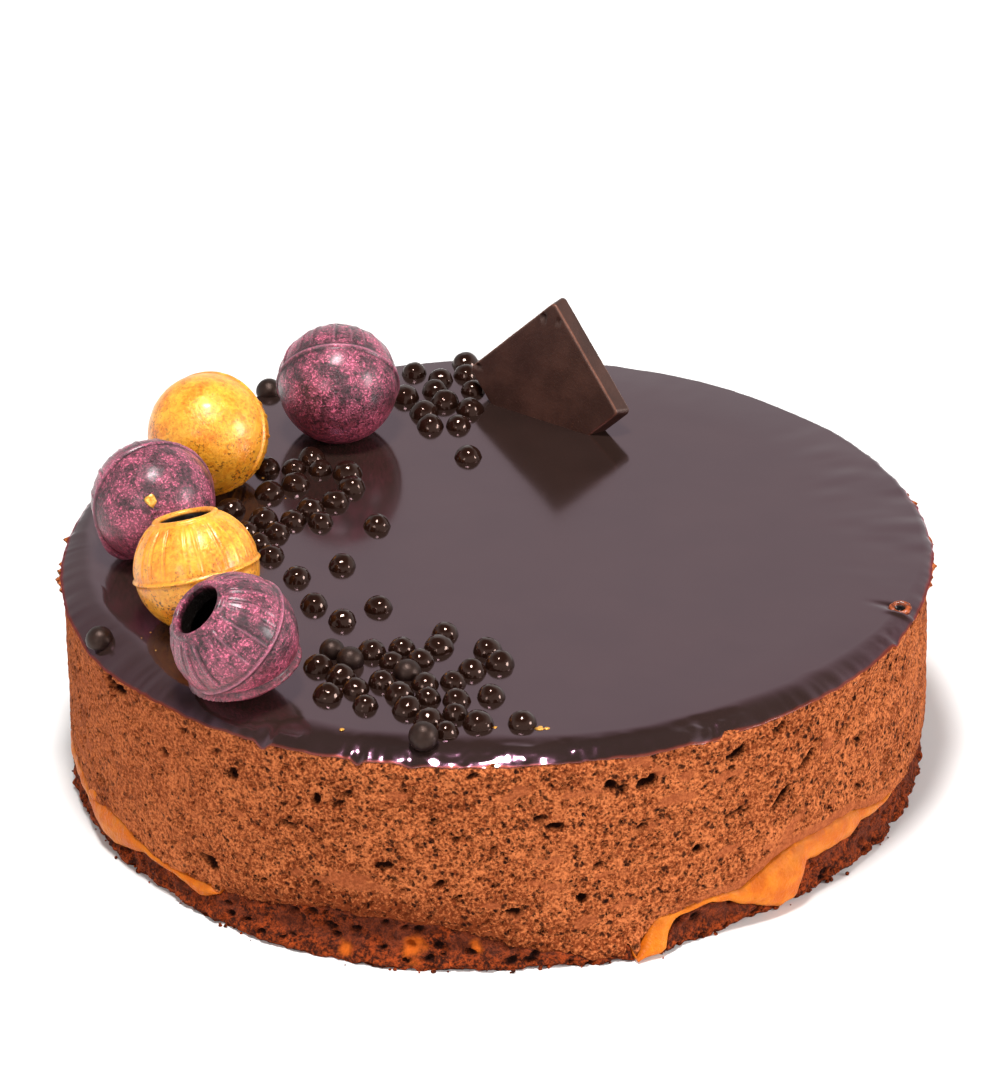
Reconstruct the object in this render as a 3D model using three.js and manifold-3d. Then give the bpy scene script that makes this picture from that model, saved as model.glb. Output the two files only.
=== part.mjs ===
// A round chocolate truffle cake: a thin sponge base, a caramel layer that has oozed out in places,
// a tall chocolate mousse and a mirror glaze with crisp pearls. Five hollow truffle shells and a
// chocolate tile stand on it. Millimetres, +Z up, origin at the middle of the underside.

import * as THREE from 'three';
import { mergeVertices } from 'three/addons/utils/BufferGeometryUtils.js';
import Module from 'manifold-3d';

const wasm = await Module();
wasm.setup();

// Driving dimensions of the layers
const GLAZE_RADIUS = 90;
const MOUSSE_RADIUS = 88.5;
const SPONGE_RADIUS = 87.8;
const SPONGE_TOP = 7;
const CARAMEL_TOP = 10.6;
const MOUSSE_TOP = 45.4;
const GLAZE_TOP = 48;
const GAP = 0.3;
const SIDES = 100;

// Edges of the layers: where each is flat, hidden, covered, rounded off or hangs over the one below
const FLAT_RADIUS = 80;
const CARAMEL_HIDDEN_RADIUS = 84;
const CARAMEL_ROUNDING = 0.6;
const SPONGE_COVERED_RADIUS = 86.6;
const SPONGE_FOOT_HEIGHT = 1.2;
const SPONGE_FOOT_ROUNDING = 0.9;
const SPONGE_SHOULDER_DROP = 1.5;
const MOUSSE_SKIRT = 1.9;
const MOUSSE_ROUNDING = 1.4;
const MOUSSE_WALL_HEIGHTS = [18, 32];
const GLAZE_HANG = 1.2;
const GLAZE_ROUNDING = 2.6;

// Caramel spreads this many degrees past each spill before it sinks out of sight
const SPILL_MARGIN = 8;

// Where the caramel shows: middle and half-width in degrees from +X, upper and lower edge, bulge radius
const SPILLS = [
  { name: 'left band', at: -150, half: 30, top: 9.4, low: 4.6, out: 88.9 },
  { name: 'right bulge', at: -47, half: 26, top: 13.2, low: 4.0, out: 89.5 },
  { name: 'right drip', at: -68.4, half: 9, top: 9.0, low: 0.9, out: 89.2 },
  { name: 'far right band', at: 38, half: 24, top: 11.6, low: 4.4, out: 89.0 },
  { name: 'far left band', at: 122, half: 20, top: 10.8, low: 3.6, out: 89.2 },
];

// Truffle shells: a sphere with a lipped hole, its equator seam across the axis of the hole
const TRUFFLE_RADIUS = 12.75;
const TRUFFLE_WALL = 3.9;
const TRUFFLE_CENTRE = GLAZE_TOP + 11.8;
const HOLE_RADIUS = 5.4;
const LIP_WIDTH = 2.3;
const SEAM_HEIGHT = 0.25;
const SEAM_HALF_WIDTH = 0.7;
const TRUFFLE_SIDES = 20;
const TRUFFLE_ARC_STEPS = 4;
const PURPLE = 0x8e4a5e;
const GOLD = 0xeda02c;
const TRUFFLES = [
  { name: 'truffle_purple_back', colour: PURPLE, x: -32.4, y: 53.5, axis: [0, 0.917, 0.4] },
  { name: 'truffle_gold_back', colour: GOLD, x: -59.3, y: 30.7, axis: [0.37, 0.78, -0.5] },
  { name: 'truffle_purple_left', colour: PURPLE, x: -69.7, y: 0.3, axis: [-0.37, 0.925, -0.064] },
  { name: 'truffle_gold_front', colour: GOLD, x: -59.9, y: -30.1, axis: [-0.19, 0.28, 0.935] },
  { name: 'truffle_purple_front', colour: PURPLE, x: -51.4, y: -59.3, axis: [-0.65, -0.26, 0.716] },
];

// Chocolate tile: a moulded square, a little smaller in front, pressed into the cake on one corner
const TILE_BACK_SIDE = 28.1;
const TILE_FRONT_SIDE = 26.8;
const TILE_THICKNESS = 4.1;
const TILE_CORNER = 1.5;
const TILE_BEVEL = 0.5;
const TILE_CORNER_STEPS = 3;
const TILE_CENTRE = new THREE.Vector3(12.3, 61.7, 53.9);
const TILE_LEFT_EDGE = new THREE.Vector3(-0.657, 0.295, -0.694);
const TILE_RIGHT_EDGE = new THREE.Vector3(0.475, -0.553, -0.685);

// Crisp pearls: heaps as turned ellipses, and single ones that rolled away
const PEARL_RADIUS = { least: 2.55, most: 3.15 };
const PEARL_SPACING = 0.3;
const PEARL_SINK = 1.2;
const PEARL_SIDES = 8;
const PEARL_RINGS = 4;
const PEARL_HEAPS = [
  { name: 'front', x: -15.7, y: -58.6, halfX: 20, halfY: 24.5, turn: 12, count: 30, seed: 127 },
  { name: 'left', x: -42.2, y: 21.5, halfX: 12.5, halfY: 25.5, turn: -9, count: 18, seed: 2261 },
  { name: 'back', x: -10.8, y: 70.4, halfX: 10, halfY: 19, turn: 3, count: 12, seed: 721 },
];
const SINGLE_PEARLS = [
  [-31, -7.4], [-40.2, -12.4], [-36.5, -24.5], [-30.6, -31.5], [-23.4, -25.8], [-24, 10.3],
  [-79.4, -38], [-47.8, 74.8], [-5, 41.5], [5.4, -75.1],
];
const PEARL_PUSHES = 60;
const PEARL_LIFT_SEED = 29;
const PROUD_SHARE = 0.2;

// Draws from 0 to 1, the same on every run
function seededDraw(seed) {
  let state = seed;
  return () => {
    state = (state * 1664525 + 1013904223) % 4294967296;
    return state / 4294967296;
  };
}

// An uneven edge: a few waves round the cake with seeded phases, at most about the amplitude high
function unevenness(seed, waves, amplitude) {
  const draw = seededDraw(seed);
  const phases = waves.map(() => 2 * Math.PI * draw());
  return (angle) => waves.reduce(
    (sum, wave, i) => sum + Math.sin(wave * angle + phases[i]) * amplitude / waves.length,
    0,
  );
}

// 1 at the middle of a stretch of the rim, falling smoothly to 0 at its two ends
function stretch(angle, at, half) {
  const away = THREE.MathUtils.euclideanModulo(THREE.MathUtils.radToDeg(angle) - at + 180, 360) - 180;
  return Math.abs(away) < half ? Math.cos((away / half) * (Math.PI / 2)) ** 2 : 0;
}

// How the caramel lies at one place on the rim. It spreads out between sponge and mousse a little past
// each spill, and in the spill its rim sags over the edge of the sponge. Where two spills meet, each
// counts by its share.
function spillAt(angle) {
  const shares = SPILLS.map(({ at, half }) => stretch(angle, at, half + SPILL_MARGIN));
  const total = shares.reduce((sum, share) => sum + share, 0);
  const mean = (key) => SPILLS.reduce((sum, spill, i) => sum + spill[key] * shares[i], 0) / (total || 1);
  const inSpill = SPILLS.reduce((sum, { at, half }) => sum + stretch(angle, at, half), 0);
  const spread = THREE.MathUtils.smoothstep(total, 0, 0.5);
  const sag = THREE.MathUtils.smoothstep(inSpill, 0.1, 0.8);
  const flush = MOUSSE_RADIUS - CARAMEL_ROUNDING;
  return {
    spread,
    sag,
    top: THREE.MathUtils.lerp(CARAMEL_TOP, mean('top'), spread),
    low: THREE.MathUtils.lerp(SPONGE_TOP, mean('low'), sag),
    out: THREE.MathUtils.lerp(CARAMEL_HIDDEN_RADIUS, flush, spread) + (mean('out') - flush) * sag,
  };
}

// A closed body from columns of points that stand side by side all the way round. Each column runs
// from the shared lowest point, out and up, to the shared highest point.
function closedBody(columns) {
  const steps = columns[0].length - 2;
  const lowest = columns.length * steps;
  const highest = lowest + 1;
  const positions = columns.flatMap((points) => points.slice(1, -1).flat());
  positions.push(...columns[0][0], ...columns[0][steps + 1]);
  const indices = [];
  columns.forEach((_, side) => {
    const here = side * steps;
    const next = ((side + 1) % columns.length) * steps;
    indices.push(lowest, next, here);
    for (let k = 0; k < steps - 1; k += 1) {
      indices.push(here + k, next + k, next + k + 1);
      indices.push(here + k, next + k + 1, here + k + 1);
    }
    indices.push(here + steps - 1, next + steps - 1, highest);
  });
  const geometry = new THREE.BufferGeometry();
  geometry.setAttribute('position', new THREE.Float32BufferAttribute(positions, 3));
  geometry.setIndex(indices);
  return geometry;
}

// A layer turned round the Z axis from a profile of radius and height that changes with the angle
function layerGeometry(profileAt) {
  return closedBody(Array.from({ length: SIDES }, (_, side) => {
    const angle = (2 * Math.PI * side) / SIDES;
    return profileAt(angle).map(([radius, z]) => [radius * Math.cos(angle), radius * Math.sin(angle), z]);
  }));
}

// A closed geometry as a solid that can be joined and cut
function solidOf(geometry) {
  const bare = geometry.clone();
  bare.deleteAttribute('normal');
  bare.deleteAttribute('uv');
  const merged = mergeVertices(bare, 1e-4);
  return new wasm.Manifold(new wasm.Mesh({
    numProp: 3,
    vertProperties: new Float32Array(merged.attributes.position.array),
    triVerts: new Uint32Array(merged.index.array),
  }));
}

// A joined or cut solid as a geometry again
function geometryOf(solid) {
  const { vertProperties, triVerts } = solid.getMesh();
  const geometry = new THREE.BufferGeometry();
  geometry.setAttribute('position', new THREE.BufferAttribute(vertProperties, 3));
  geometry.setIndex(new THREE.BufferAttribute(triVerts, 1));
  return geometry;
}

function part(name, geometry, colour, roughness) {
  geometry.computeVertexNormals();
  const material = new THREE.MeshStandardMaterial({ color: colour, roughness, metalness: 0 });
  const mesh = new THREE.Mesh(geometry, material);
  mesh.name = name;
  return mesh;
}

// Sponge base: a thin crumbly disc, cut back where caramel sags over its edge
function spongeGeometry() {
  const crumbs = unevenness(3, [9, 17, 23, 31], 1.2);
  const worn = unevenness(5, [7, 13, 29], 0.9);
  return layerGeometry((angle) => {
    const { spread, low } = spillAt(angle);
    const top = SPONGE_TOP - GAP;
    const covered = Math.min(1, (SPONGE_TOP - low) / (SPONGE_TOP - SPONGE_SHOULDER_DROP));
    const shoulder = THREE.MathUtils.lerp(SPONGE_RADIUS + worn(angle), SPONGE_COVERED_RADIUS, spread);
    const foot = THREE.MathUtils.lerp(SPONGE_RADIUS + crumbs(angle), SPONGE_COVERED_RADIUS, covered);
    const footTop = Math.min(SPONGE_FOOT_HEIGHT, low * 0.3);
    return [
      [0, 0],
      [foot - SPONGE_FOOT_ROUNDING, 0],
      [foot, footTop],
      [shoulder, Math.max(footTop + GAP, low - SPONGE_SHOULDER_DROP)],
      [shoulder - 2 * GAP, top],
      [FLAT_RADIUS, top],
      [0, top],
    ];
  });
}

// Caramel layer: a disc through the whole cake whose rim swells out over the sponge at the spills
function caramelGeometry() {
  const ripple = unevenness(11, [19, 27], 0.35);
  return layerGeometry((angle) => {
    const { spread, sag, top, low, out } = spillAt(angle);
    const behind = THREE.MathUtils.lerp(out - CARAMEL_ROUNDING, SPONGE_COVERED_RADIUS + GAP, sag);
    const swell = out + ripple(angle) * sag;
    const crest = CARAMEL_ROUNDING * (1 + spread);
    return [
      [0, SPONGE_TOP],
      [FLAT_RADIUS, SPONGE_TOP],
      [behind, SPONGE_TOP],
      [behind + CARAMEL_ROUNDING / 3, low + 0.1 * sag],
      [swell - CARAMEL_ROUNDING / 2, low],
      [swell, (low + top) / 2],
      [swell - crest, top - CARAMEL_ROUNDING * spread],
      [FLAT_RADIUS, CARAMEL_TOP],
      [0, CARAMEL_TOP],
    ];
  });
}

// Mousse: the tall body, which hangs down over the hidden edge of the caramel as a skirt
function mousseGeometry() {
  const hemline = unevenness(11, [3, 5, 8, 14, 22], 0.5);
  const walls = MOUSSE_WALL_HEIGHTS.map((z, i) => ({ z, bulge: unevenness(12 + i, [3, 5, 8, 14, 22], 0.5) }));
  return layerGeometry((angle) => {
    const { spread, top, out } = spillAt(angle);
    const hem = THREE.MathUtils.lerp(SPONGE_TOP, top, spread) + GAP;
    const inner = Math.min(out + GAP, MOUSSE_RADIUS - MOUSSE_SKIRT);
    return [
      [0, CARAMEL_TOP + GAP],
      [FLAT_RADIUS, CARAMEL_TOP + GAP],
      [inner, top + 2 * GAP],
      [inner + 2 * GAP, hem],
      [MOUSSE_RADIUS - GAP + hemline(angle), hem + GAP],
      ...walls.map(({ z, bulge }) => [MOUSSE_RADIUS + bulge(angle), z]),
      [MOUSSE_RADIUS, MOUSSE_TOP - MOUSSE_ROUNDING],
      [MOUSSE_RADIUS - MOUSSE_ROUNDING, MOUSSE_TOP],
      [0, MOUSSE_TOP],
    ];
  });
}

// Mirror glaze: a poured cap with a round lip that ends in a wavy edge just below the mousse's rim
function glazeGeometry() {
  const edge = unevenness(21, [4, 7, 11, 18], 0.9);
  return layerGeometry((angle) => {
    const hem = MOUSSE_TOP - GLAZE_HANG + edge(angle);
    return [
      [0, MOUSSE_TOP + GAP],
      [MOUSSE_RADIUS - GLAZE_HANG, MOUSSE_TOP + GAP],
      [MOUSSE_RADIUS + GAP, hem + GAP + Math.max(0, -edge(angle))],
      [MOUSSE_RADIUS + 2 * GAP, hem],
      [GLAZE_RADIUS - GAP, hem + GAP / 2],
      [GLAZE_RADIUS, MOUSSE_TOP + 2 * GAP],
      [GLAZE_RADIUS - 0.3 * GLAZE_ROUNDING, GLAZE_TOP - 0.3 * GLAZE_ROUNDING],
      [GLAZE_RADIUS - GLAZE_ROUNDING, GLAZE_TOP],
      [0, GLAZE_TOP],
    ];
  });
}

// One shell as a lathe round its own Y axis: outer foot, seam, shoulder, lip, then the inner wall back
function truffleShell() {
  const inner = TRUFFLE_RADIUS - TRUFFLE_WALL;
  const lipAngle = Math.asin((HOLE_RADIUS + LIP_WIDTH) / TRUFFLE_RADIUS);
  const mouthAngle = Math.asin(HOLE_RADIUS / inner);
  const seamAngle = SEAM_HALF_WIDTH / TRUFFLE_RADIUS;
  const at = (radius, fromTop) => new THREE.Vector2(radius * Math.sin(fromTop), radius * Math.cos(fromTop));
  const arc = (radius, from, to) => Array.from(
    { length: TRUFFLE_ARC_STEPS + 1 },
    (_, i) => at(radius, THREE.MathUtils.lerp(from, to, i / TRUFFLE_ARC_STEPS)),
  );
  const equator = Math.PI / 2;
  const profile = [
    ...arc(TRUFFLE_RADIUS, Math.PI, equator + seamAngle),
    at(TRUFFLE_RADIUS + SEAM_HEIGHT, equator),
    ...arc(TRUFFLE_RADIUS, equator - seamAngle, lipAngle),
    new THREE.Vector2(HOLE_RADIUS, TRUFFLE_RADIUS * Math.cos(lipAngle) + SEAM_HEIGHT),
    ...arc(inner, mouthAngle, Math.PI),
  ];
  profile[0].x = 0;
  profile[profile.length - 1].x = 0;
  return new THREE.LatheGeometry(profile, TRUFFLE_SIDES);
}

// The block of space below the glaze's surface, which flattens the foot of whatever sinks into it
function belowGlaze(clearance) {
  const block = new THREE.BoxGeometry(4 * GLAZE_RADIUS, 4 * GLAZE_RADIUS, GLAZE_TOP);
  block.translate(0, 0, GLAZE_TOP / 2 + clearance);
  return solidOf(block);
}

function truffleGeometry({ x, y, axis }) {
  const shell = truffleShell();
  const turn = new THREE.Quaternion().setFromUnitVectors(
    new THREE.Vector3(0, 1, 0),
    new THREE.Vector3(...axis).normalize(),
  );
  shell.applyQuaternion(turn);
  shell.translate(x, y, TRUFFLE_CENTRE);
  return geometryOf(solidOf(shell).subtract(belowGlaze(GAP)));
}

// Points round a square with rounded corners
function roundedSquare(half, corner) {
  const points = [];
  for (let quarter = 0; quarter < 4; quarter += 1) {
    for (let k = 0; k <= TILE_CORNER_STEPS; k += 1) {
      const bend = (Math.PI / 2) * (k / TILE_CORNER_STEPS);
      const point = new THREE.Vector2(Math.cos(bend), Math.sin(bend));
      point.multiplyScalar(corner).addScalar(half - corner);
      points.push(point.rotateAround(new THREE.Vector2(), (Math.PI / 2) * quarter));
    }
  }
  return points;
}

// The tile as rounded squares from back to front, grown by a clearance where it cuts its own slot
function tileGeometry(clearance) {
  const back = TILE_BACK_SIDE / 2 + clearance;
  const front = TILE_FRONT_SIDE / 2 + clearance;
  const depth = TILE_THICKNESS / 2 + clearance;
  const levels = [
    [back - TILE_BEVEL, -depth],
    [back, TILE_BEVEL - depth],
    [front, depth - TILE_BEVEL],
    [front - TILE_BEVEL, depth],
  ];
  const outlines = levels.map(([half, z]) => roundedSquare(half, TILE_CORNER).map(({ x, y }) => [x, y, z]));
  const tile = closedBody(outlines[0].map((_, i) => [
    [0, 0, -depth],
    ...outlines.map((outline) => outline[i]),
    [0, 0, depth],
  ]));
  const across = TILE_LEFT_EDGE.clone().normalize();
  const face = across.clone().cross(TILE_RIGHT_EDGE).normalize();
  const down = face.clone().cross(across);
  tile.applyMatrix4(new THREE.Matrix4().makeBasis(across, down, face).setPosition(TILE_CENTRE));
  return tile;
}

// Places for one heap of pearls: drawn in its ellipse, then pushed apart and off what stands nearby
function heapOfPearls(heap, obstacles) {
  const draw = seededDraw(heap.seed);
  const turn = THREE.MathUtils.degToRad(heap.turn);
  const centre = new THREE.Vector2(heap.x, heap.y);
  const pearls = Array.from({ length: heap.count }, () => {
    const reach = Math.sqrt(draw());
    const around = 2 * Math.PI * draw();
    const place = new THREE.Vector2(heap.halfX * Math.cos(around), heap.halfY * Math.sin(around));
    place.multiplyScalar(reach).rotateAround(new THREE.Vector2(), turn).add(centre);
    return { place, radius: THREE.MathUtils.lerp(PEARL_RADIUS.least, PEARL_RADIUS.most, draw()) };
  });
  for (let step = 0; step < PEARL_PUSHES; step += 1) {
    for (const one of pearls) {
      for (const other of [...pearls, ...obstacles]) {
        const apart = one.place.clone().sub(other.place);
        const short = one.radius + other.radius + PEARL_SPACING - apart.length();
        if (other !== one && short > 0) one.place.addScaledVector(apart.normalize(), short * 0.55);
      }
    }
  }
  return pearls;
}

// What the pearls keep clear of: the truffles' feet, and the line where the tile enters the glaze
function pearlObstacles() {
  const feet = TRUFFLES.map(({ x, y }) => ({ place: new THREE.Vector2(x, y), radius: 0.8 * TRUFFLE_RADIUS }));
  const down = TILE_LEFT_EDGE.clone().add(TILE_RIGHT_EDGE);
  const foot = TILE_CENTRE.clone().addScaledVector(down, (GLAZE_TOP - TILE_CENTRE.z) / down.z);
  const along = TILE_RIGHT_EDGE.clone().sub(TILE_LEFT_EDGE).normalize();
  const tile = [-2, -1, 0, 1, 2].map((step) => ({
    place: new THREE.Vector2(foot.x, foot.y).addScaledVector(along, (step * TILE_BACK_SIDE) / 4.3),
    radius: 0.85 * TILE_THICKNESS,
  }));
  return [...feet, ...tile];
}

// Every pearl on the cake, each a little different in size and in how far it has sunk
function allPearls() {
  const singles = SINGLE_PEARLS.map(([x, y]) => ({
    place: new THREE.Vector2(x, y),
    radius: (PEARL_RADIUS.least + PEARL_RADIUS.most) / 2,
  }));
  const obstacles = [...pearlObstacles(), ...singles];
  const heaps = PEARL_HEAPS.flatMap((heap) => heapOfPearls(heap, obstacles));
  const draw = seededDraw(PEARL_LIFT_SEED);
  return [...singles, ...heaps].map((pearl) => {
    const proud = draw() < PROUD_SHARE;
    return { ...pearl, lift: pearl.radius * (proud ? 0.75 : 0.1 + 0.35 * draw()) };
  });
}

// One pearl as a ball that ends in a flat foot inside the glaze
function pearlGeometry({ place, radius, lift }) {
  const foot = Math.min(lift + PEARL_SINK, 0.9 * radius);
  const widest = Math.acos(-foot / radius);
  const profile = [new THREE.Vector2(0, -foot)];
  for (let k = PEARL_RINGS; k > 0; k -= 1) {
    const fromTop = (widest * k) / PEARL_RINGS;
    profile.push(new THREE.Vector2(radius * Math.sin(fromTop), radius * Math.cos(fromTop)));
  }
  profile.push(new THREE.Vector2(0, radius));
  const pearl = new THREE.LatheGeometry(profile, PEARL_SIDES);
  pearl.rotateX(Math.PI / 2);
  pearl.rotateZ(place.x);
  pearl.translate(place.x, place.y, GLAZE_TOP + lift);
  return pearl;
}

// The glaze with its pearls fused on, and the slot that the tile has pressed through it
function glazeWithPearls(slot) {
  let glaze = solidOf(glazeGeometry());
  for (const pearl of allPearls()) glaze = glaze.add(solidOf(pearlGeometry(pearl)));
  return geometryOf(glaze.subtract(slot));
}

const slot = solidOf(tileGeometry(GAP));
const cake = new THREE.Group();
cake.add(
  part('sponge_base', spongeGeometry(), 0x5a2c18, 0.95),
  part('caramel_layer', caramelGeometry(), 0xc9762c, 0.35),
  part('mousse_body', geometryOf(solidOf(mousseGeometry()).subtract(slot)), 0xa0562f, 0.9),
  part('mirror_glaze', glazeWithPearls(slot), 0x35201e, 0.08),
  part('chocolate_tile', tileGeometry(0), 0x3e2723, 0.4),
);
for (const truffle of TRUFFLES) {
  cake.add(part(truffle.name, truffleGeometry(truffle), truffle.colour, 0.35));
}

export default cake;
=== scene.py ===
"""The looks of a round chocolate truffle cake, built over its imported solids.

Shapes are worked out in millimetres, in the frame of the solids, and written as meshes in metres.
"""

import math

import bpy
import numpy as np
from mathutils import Matrix, Vector


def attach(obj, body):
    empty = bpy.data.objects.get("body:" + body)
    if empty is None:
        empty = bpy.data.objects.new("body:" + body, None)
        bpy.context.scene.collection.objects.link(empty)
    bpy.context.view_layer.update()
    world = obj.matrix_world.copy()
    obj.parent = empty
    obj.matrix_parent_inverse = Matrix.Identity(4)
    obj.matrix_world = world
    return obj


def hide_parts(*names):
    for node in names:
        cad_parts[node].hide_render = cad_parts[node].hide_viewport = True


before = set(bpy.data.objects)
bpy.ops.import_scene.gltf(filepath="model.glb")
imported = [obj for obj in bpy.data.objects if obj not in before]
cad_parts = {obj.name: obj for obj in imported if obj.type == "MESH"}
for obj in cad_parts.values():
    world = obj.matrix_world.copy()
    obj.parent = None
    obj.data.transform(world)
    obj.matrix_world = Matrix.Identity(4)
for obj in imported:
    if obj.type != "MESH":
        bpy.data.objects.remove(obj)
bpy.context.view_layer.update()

# Sponge base
# A thin round of dark cocoa sponge that carries the cake. It was cut out with a ring, so its edge is
# open crumb, and it is set back where caramel has run down over it.
MM = 0.001
SPONGE_RADIUS = 87.8
SPONGE_COVERED_RADIUS = 85.6
SPONGE_TOP = 7.0
SPONGE_RIM = 11.0
SPONGE_FOOT_ROUNDING = 0.9
SPONGE_FOOT_ROUNDED_TO = 1.2
SPONGE_COLUMNS = 1100
SPONGE_WALL_ROWS = 36
SPONGE_GAP = (50, 19, 9)
SPONGE_CRUMB = (166, 68, 25)
# Painted shade for the inside of the torn holes
SPONGE_HOLE_SHADE = (36, 13, 7)
SPONGE_DAMP = (94, 43, 28)
SPONGE_SOAKED = (196, 92, 20)
SPONGE_GRAIN = 1.5
SPONGE_FINE_GRAIN = 0.6
SPONGE_DAMP_SIZE = 6.0
SPONGE_DAMP_FROM = (1.5, 4.5)
SPONGE_BUMP = 1.3
# Radii of the rows of points that close its flat sides, and how far its rim's inner wall clears the caramel
LAYER_CORE_RADIUS = 30.0
SPONGE_UNDER_RADIUS = 75.0
SPONGE_RIM_CLEARANCE = 0.6
SPONGE_FLOOR_CLEARANCE = 0.3
# Relief of its crumb, wave by wave: height, spacing, seed. Then shifts up and down, which start at a height
CRUMB_WAVES = [(0.7, 3.4, 1), (0.5, 1.5, 2), (0.3, 0.8, 3)]
CRUMB_SHIFTS = [(0.3, 2.0, 5)]
CRUMB_SHIFTS_FROM = (0.3, 1.5)
# Share of the relief that is pressed flat under a cover, and the heights from its edge where it takes hold
CRUMB_PRESSED = 0.6
COVER_EDGE = (-0.4, 1.2)
# Torn holes: width, height and lean of a cell, share of cells that hold one, range of radii, seed
SPONGE_HOLES = (3.9, 2.4, 0.3, 0.42, (0.16, 0.46), 4)
SPONGE_HOLE_DEPTH = 1.8
# How far its foot has spread on the floor: angle in degrees, radius
SPONGE_FOOT = [
    (-180, 88.2), (-153, 88.2), (-138, 88.5), (-128, 89.8), (-120, 91.0), (-100, 91.5), (-94, 90.6),
    (-87, 90.0), (-80, 90.2), (-75, 90.9), (-69, 90.9), (-65, 89.0), (-57, 87.0), (-47, 87.4),
    (-36, 88.6), (0, 88.8), (180, 88.2),
]
SPONGE_FLARE = 6.0
# Patches of crumb soaked with caramel: angle in degrees, height, half width, half height
SOAKED_PATCHES = [
    (-109.9, 2.6, 2.1, 1.4),
    (-100.8, 4.0, 2.7, 2.5),
    (-92.9, 5.2, 1.3, 1.8),
    (80.0, 3.0, 2.4, 1.8),
]
# How their outlines are frayed, and the shares of the way from their middles between which they fade
SOAKED_FRAY = [(0.5, 1.4, 6)]
SOAKED_EDGE = (1.15, 0.45)

# Where caramel shows at the wall, spill by spill: angle in degrees from +X, its upper and its lower edge
CARAMEL_SPILLS = [
    [
        (-176, 10.4, 8.0), (-172, 10.2, 6.0), (-166, 9.9, 6.0), (-161, 8.9, 5.3), (-157.5, 8.3, 3.3),
        (-155, 9.6, 2.5), (-152, 10.2, 2.4), (-149.5, 10.1, 3.4), (-147.5, 9.3, 4.5), (-145, 8.8, 5.8),
        (-142.6, 8.1, 6.1), (-138.4, 7.5, 5.5), (-134.5, 7.4, 4.5), (-132.3, 7.5, 4.0), (-130.7, 7.3, 4.8),
        (-129.5, 6.3, 5.6),
    ],
    [
        (-72.4, 1.2, 0.2), (-71.6, 2.6, 0.2), (-70.6, 4.6, 0.2), (-69.2, 7.2, 0.2), (-68.4, 8.0, 0.8),
        (-67.6, 8.1, 3.2), (-66.4, 8.0, 5.6), (-64.3, 8.5, 6.8), (-61, 9.4, 7.4), (-58.5, 9.6, 6.8),
        (-57, 9.5, 5.4), (-55, 11.0, 4.2), (-52, 13.2, 2.0), (-50, 14.1, 0.7), (-47.6, 14.6, 1.2),
        (-46.5, 14.7, 4.0), (-45.5, 14.8, 8.4), (-43, 14.9, 7.7), (-39.5, 14.9, 7.8), (-36, 14.8, 7.5),
        (-33.5, 13.4, 9.2), (-30, 11.6, 8.8), (-27, 10.9, 9.6), (-22, 10.7, 10.0), (-18, 10.6, 10.3),
    ],
    [
        (14, 10.6, 9.8), (20, 11.2, 7.4), (26, 11.8, 5.0), (30, 11.6, 1.6), (34, 11.4, 3.4),
        (40, 11.5, 6.0), (48, 11.0, 6.6), (56, 10.7, 7.6), (60, 10.6, 8.6),
    ],
    [
        (102, 10.6, 9.4), (108, 10.9, 6.2), (114, 10.8, 3.0), (118, 10.7, 2.2), (124, 10.8, 4.4),
        (130, 10.6, 6.4), (138, 10.6, 8.6),
    ],
]
# Degrees in which a spill runs out at its ends, how far caramel stands out for each millimetre of its height,
# and how much more for each millimetre that it hangs below the top of the sponge
SPILL_END = 1.4
CARAMEL_STAND = 0.06
CARAMEL_FOOT_STAND = 0.12
CARAMEL_HIDDEN_RADIUS = 84.0
CARAMEL_TOP = 10.6
# Lower edge of the mousse away from the caramel: angle in degrees, height. In front it laps over the sponge
MOUSSE_HEM = [
    (-180, 8.8), (-129, 7.0), (-124, 6.8), (-118, 9.0), (-110, 10.2), (-104, 9.8), (-97, 8.8), (-92, 7.2),
    (-88, 4.6), (-80, 2.2), (-74, 1.2), (-70, 1.2), (-20, 8.8), (60, 8.4), (150, 9.2), (180, 8.8),
]
# Its lowest point, how far it laps over the caramel, and how uneven it is away from the caramel and on it
HEM_LOWEST = 0.8
HEM_LAP = 0.25
HEM_WAVES = [(0.7, 7.0, 21), (0.45, 2.3, 22)]
HEM_ON_CARAMEL_WAVES = [(0.3, 3.0, 23)]
MOUSSE_RADIUS = 88.5
# The cake is a little out of round: middle and half width in degrees, how far
OUT_OF_ROUND = [(0, 85, 0.9)]
# Cells of a wall with holes: rows, range of a hole's place in its cell, and a radius that stands for no hole
PORE_ROWS = 64
PORE_SPOT = (0.1, 0.9)
NO_PORE = 1e-6
# How far the holes' outlines are frayed, round and up, with what is added to their seeds, and the spacing
PORE_FRAYS = [(0.35, 500), (0.3, 501)]
PORE_FRAY_SPACING = 1.1
# Cells along each side of the lattice of seeded numbers, past which it repeats
LATTICE = 32


def ring_angles(columns):
    """Angles in radians spread evenly round the cake, without the last one that would repeat the first."""
    return np.linspace(0, 2 * np.pi, columns, endpoint=False)


def smooth(value, start, end):
    """0 up to the start, 1 from the end on, and between them three times the square less twice the cube."""
    share = np.clip((value - start) / (end - start), 0, 1)
    return share * share * (3 - 2 * share)


def degrees_from(angle, middle=0):
    """Degrees round the cake from a middle in degrees to an angle in radians, from -180 up to 180."""
    return (np.degrees(angle) - middle + 180) % 360 - 180


def distance_round(angle, middle, radius):
    """Millimetres round the cake, at a radius, from a middle in degrees to an angle in radians."""
    return np.radians(degrees_from(angle, middle)) * radius


def hump(angle, middle, half):
    """1 at the middle, in degrees round the cake, falling as a squared cosine to 0 at the half width."""
    away = degrees_from(angle, middle)
    return np.where(np.abs(away) < half, np.cos(np.clip(away / half, -1, 1) * np.pi / 2) ** 2, 0)


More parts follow.
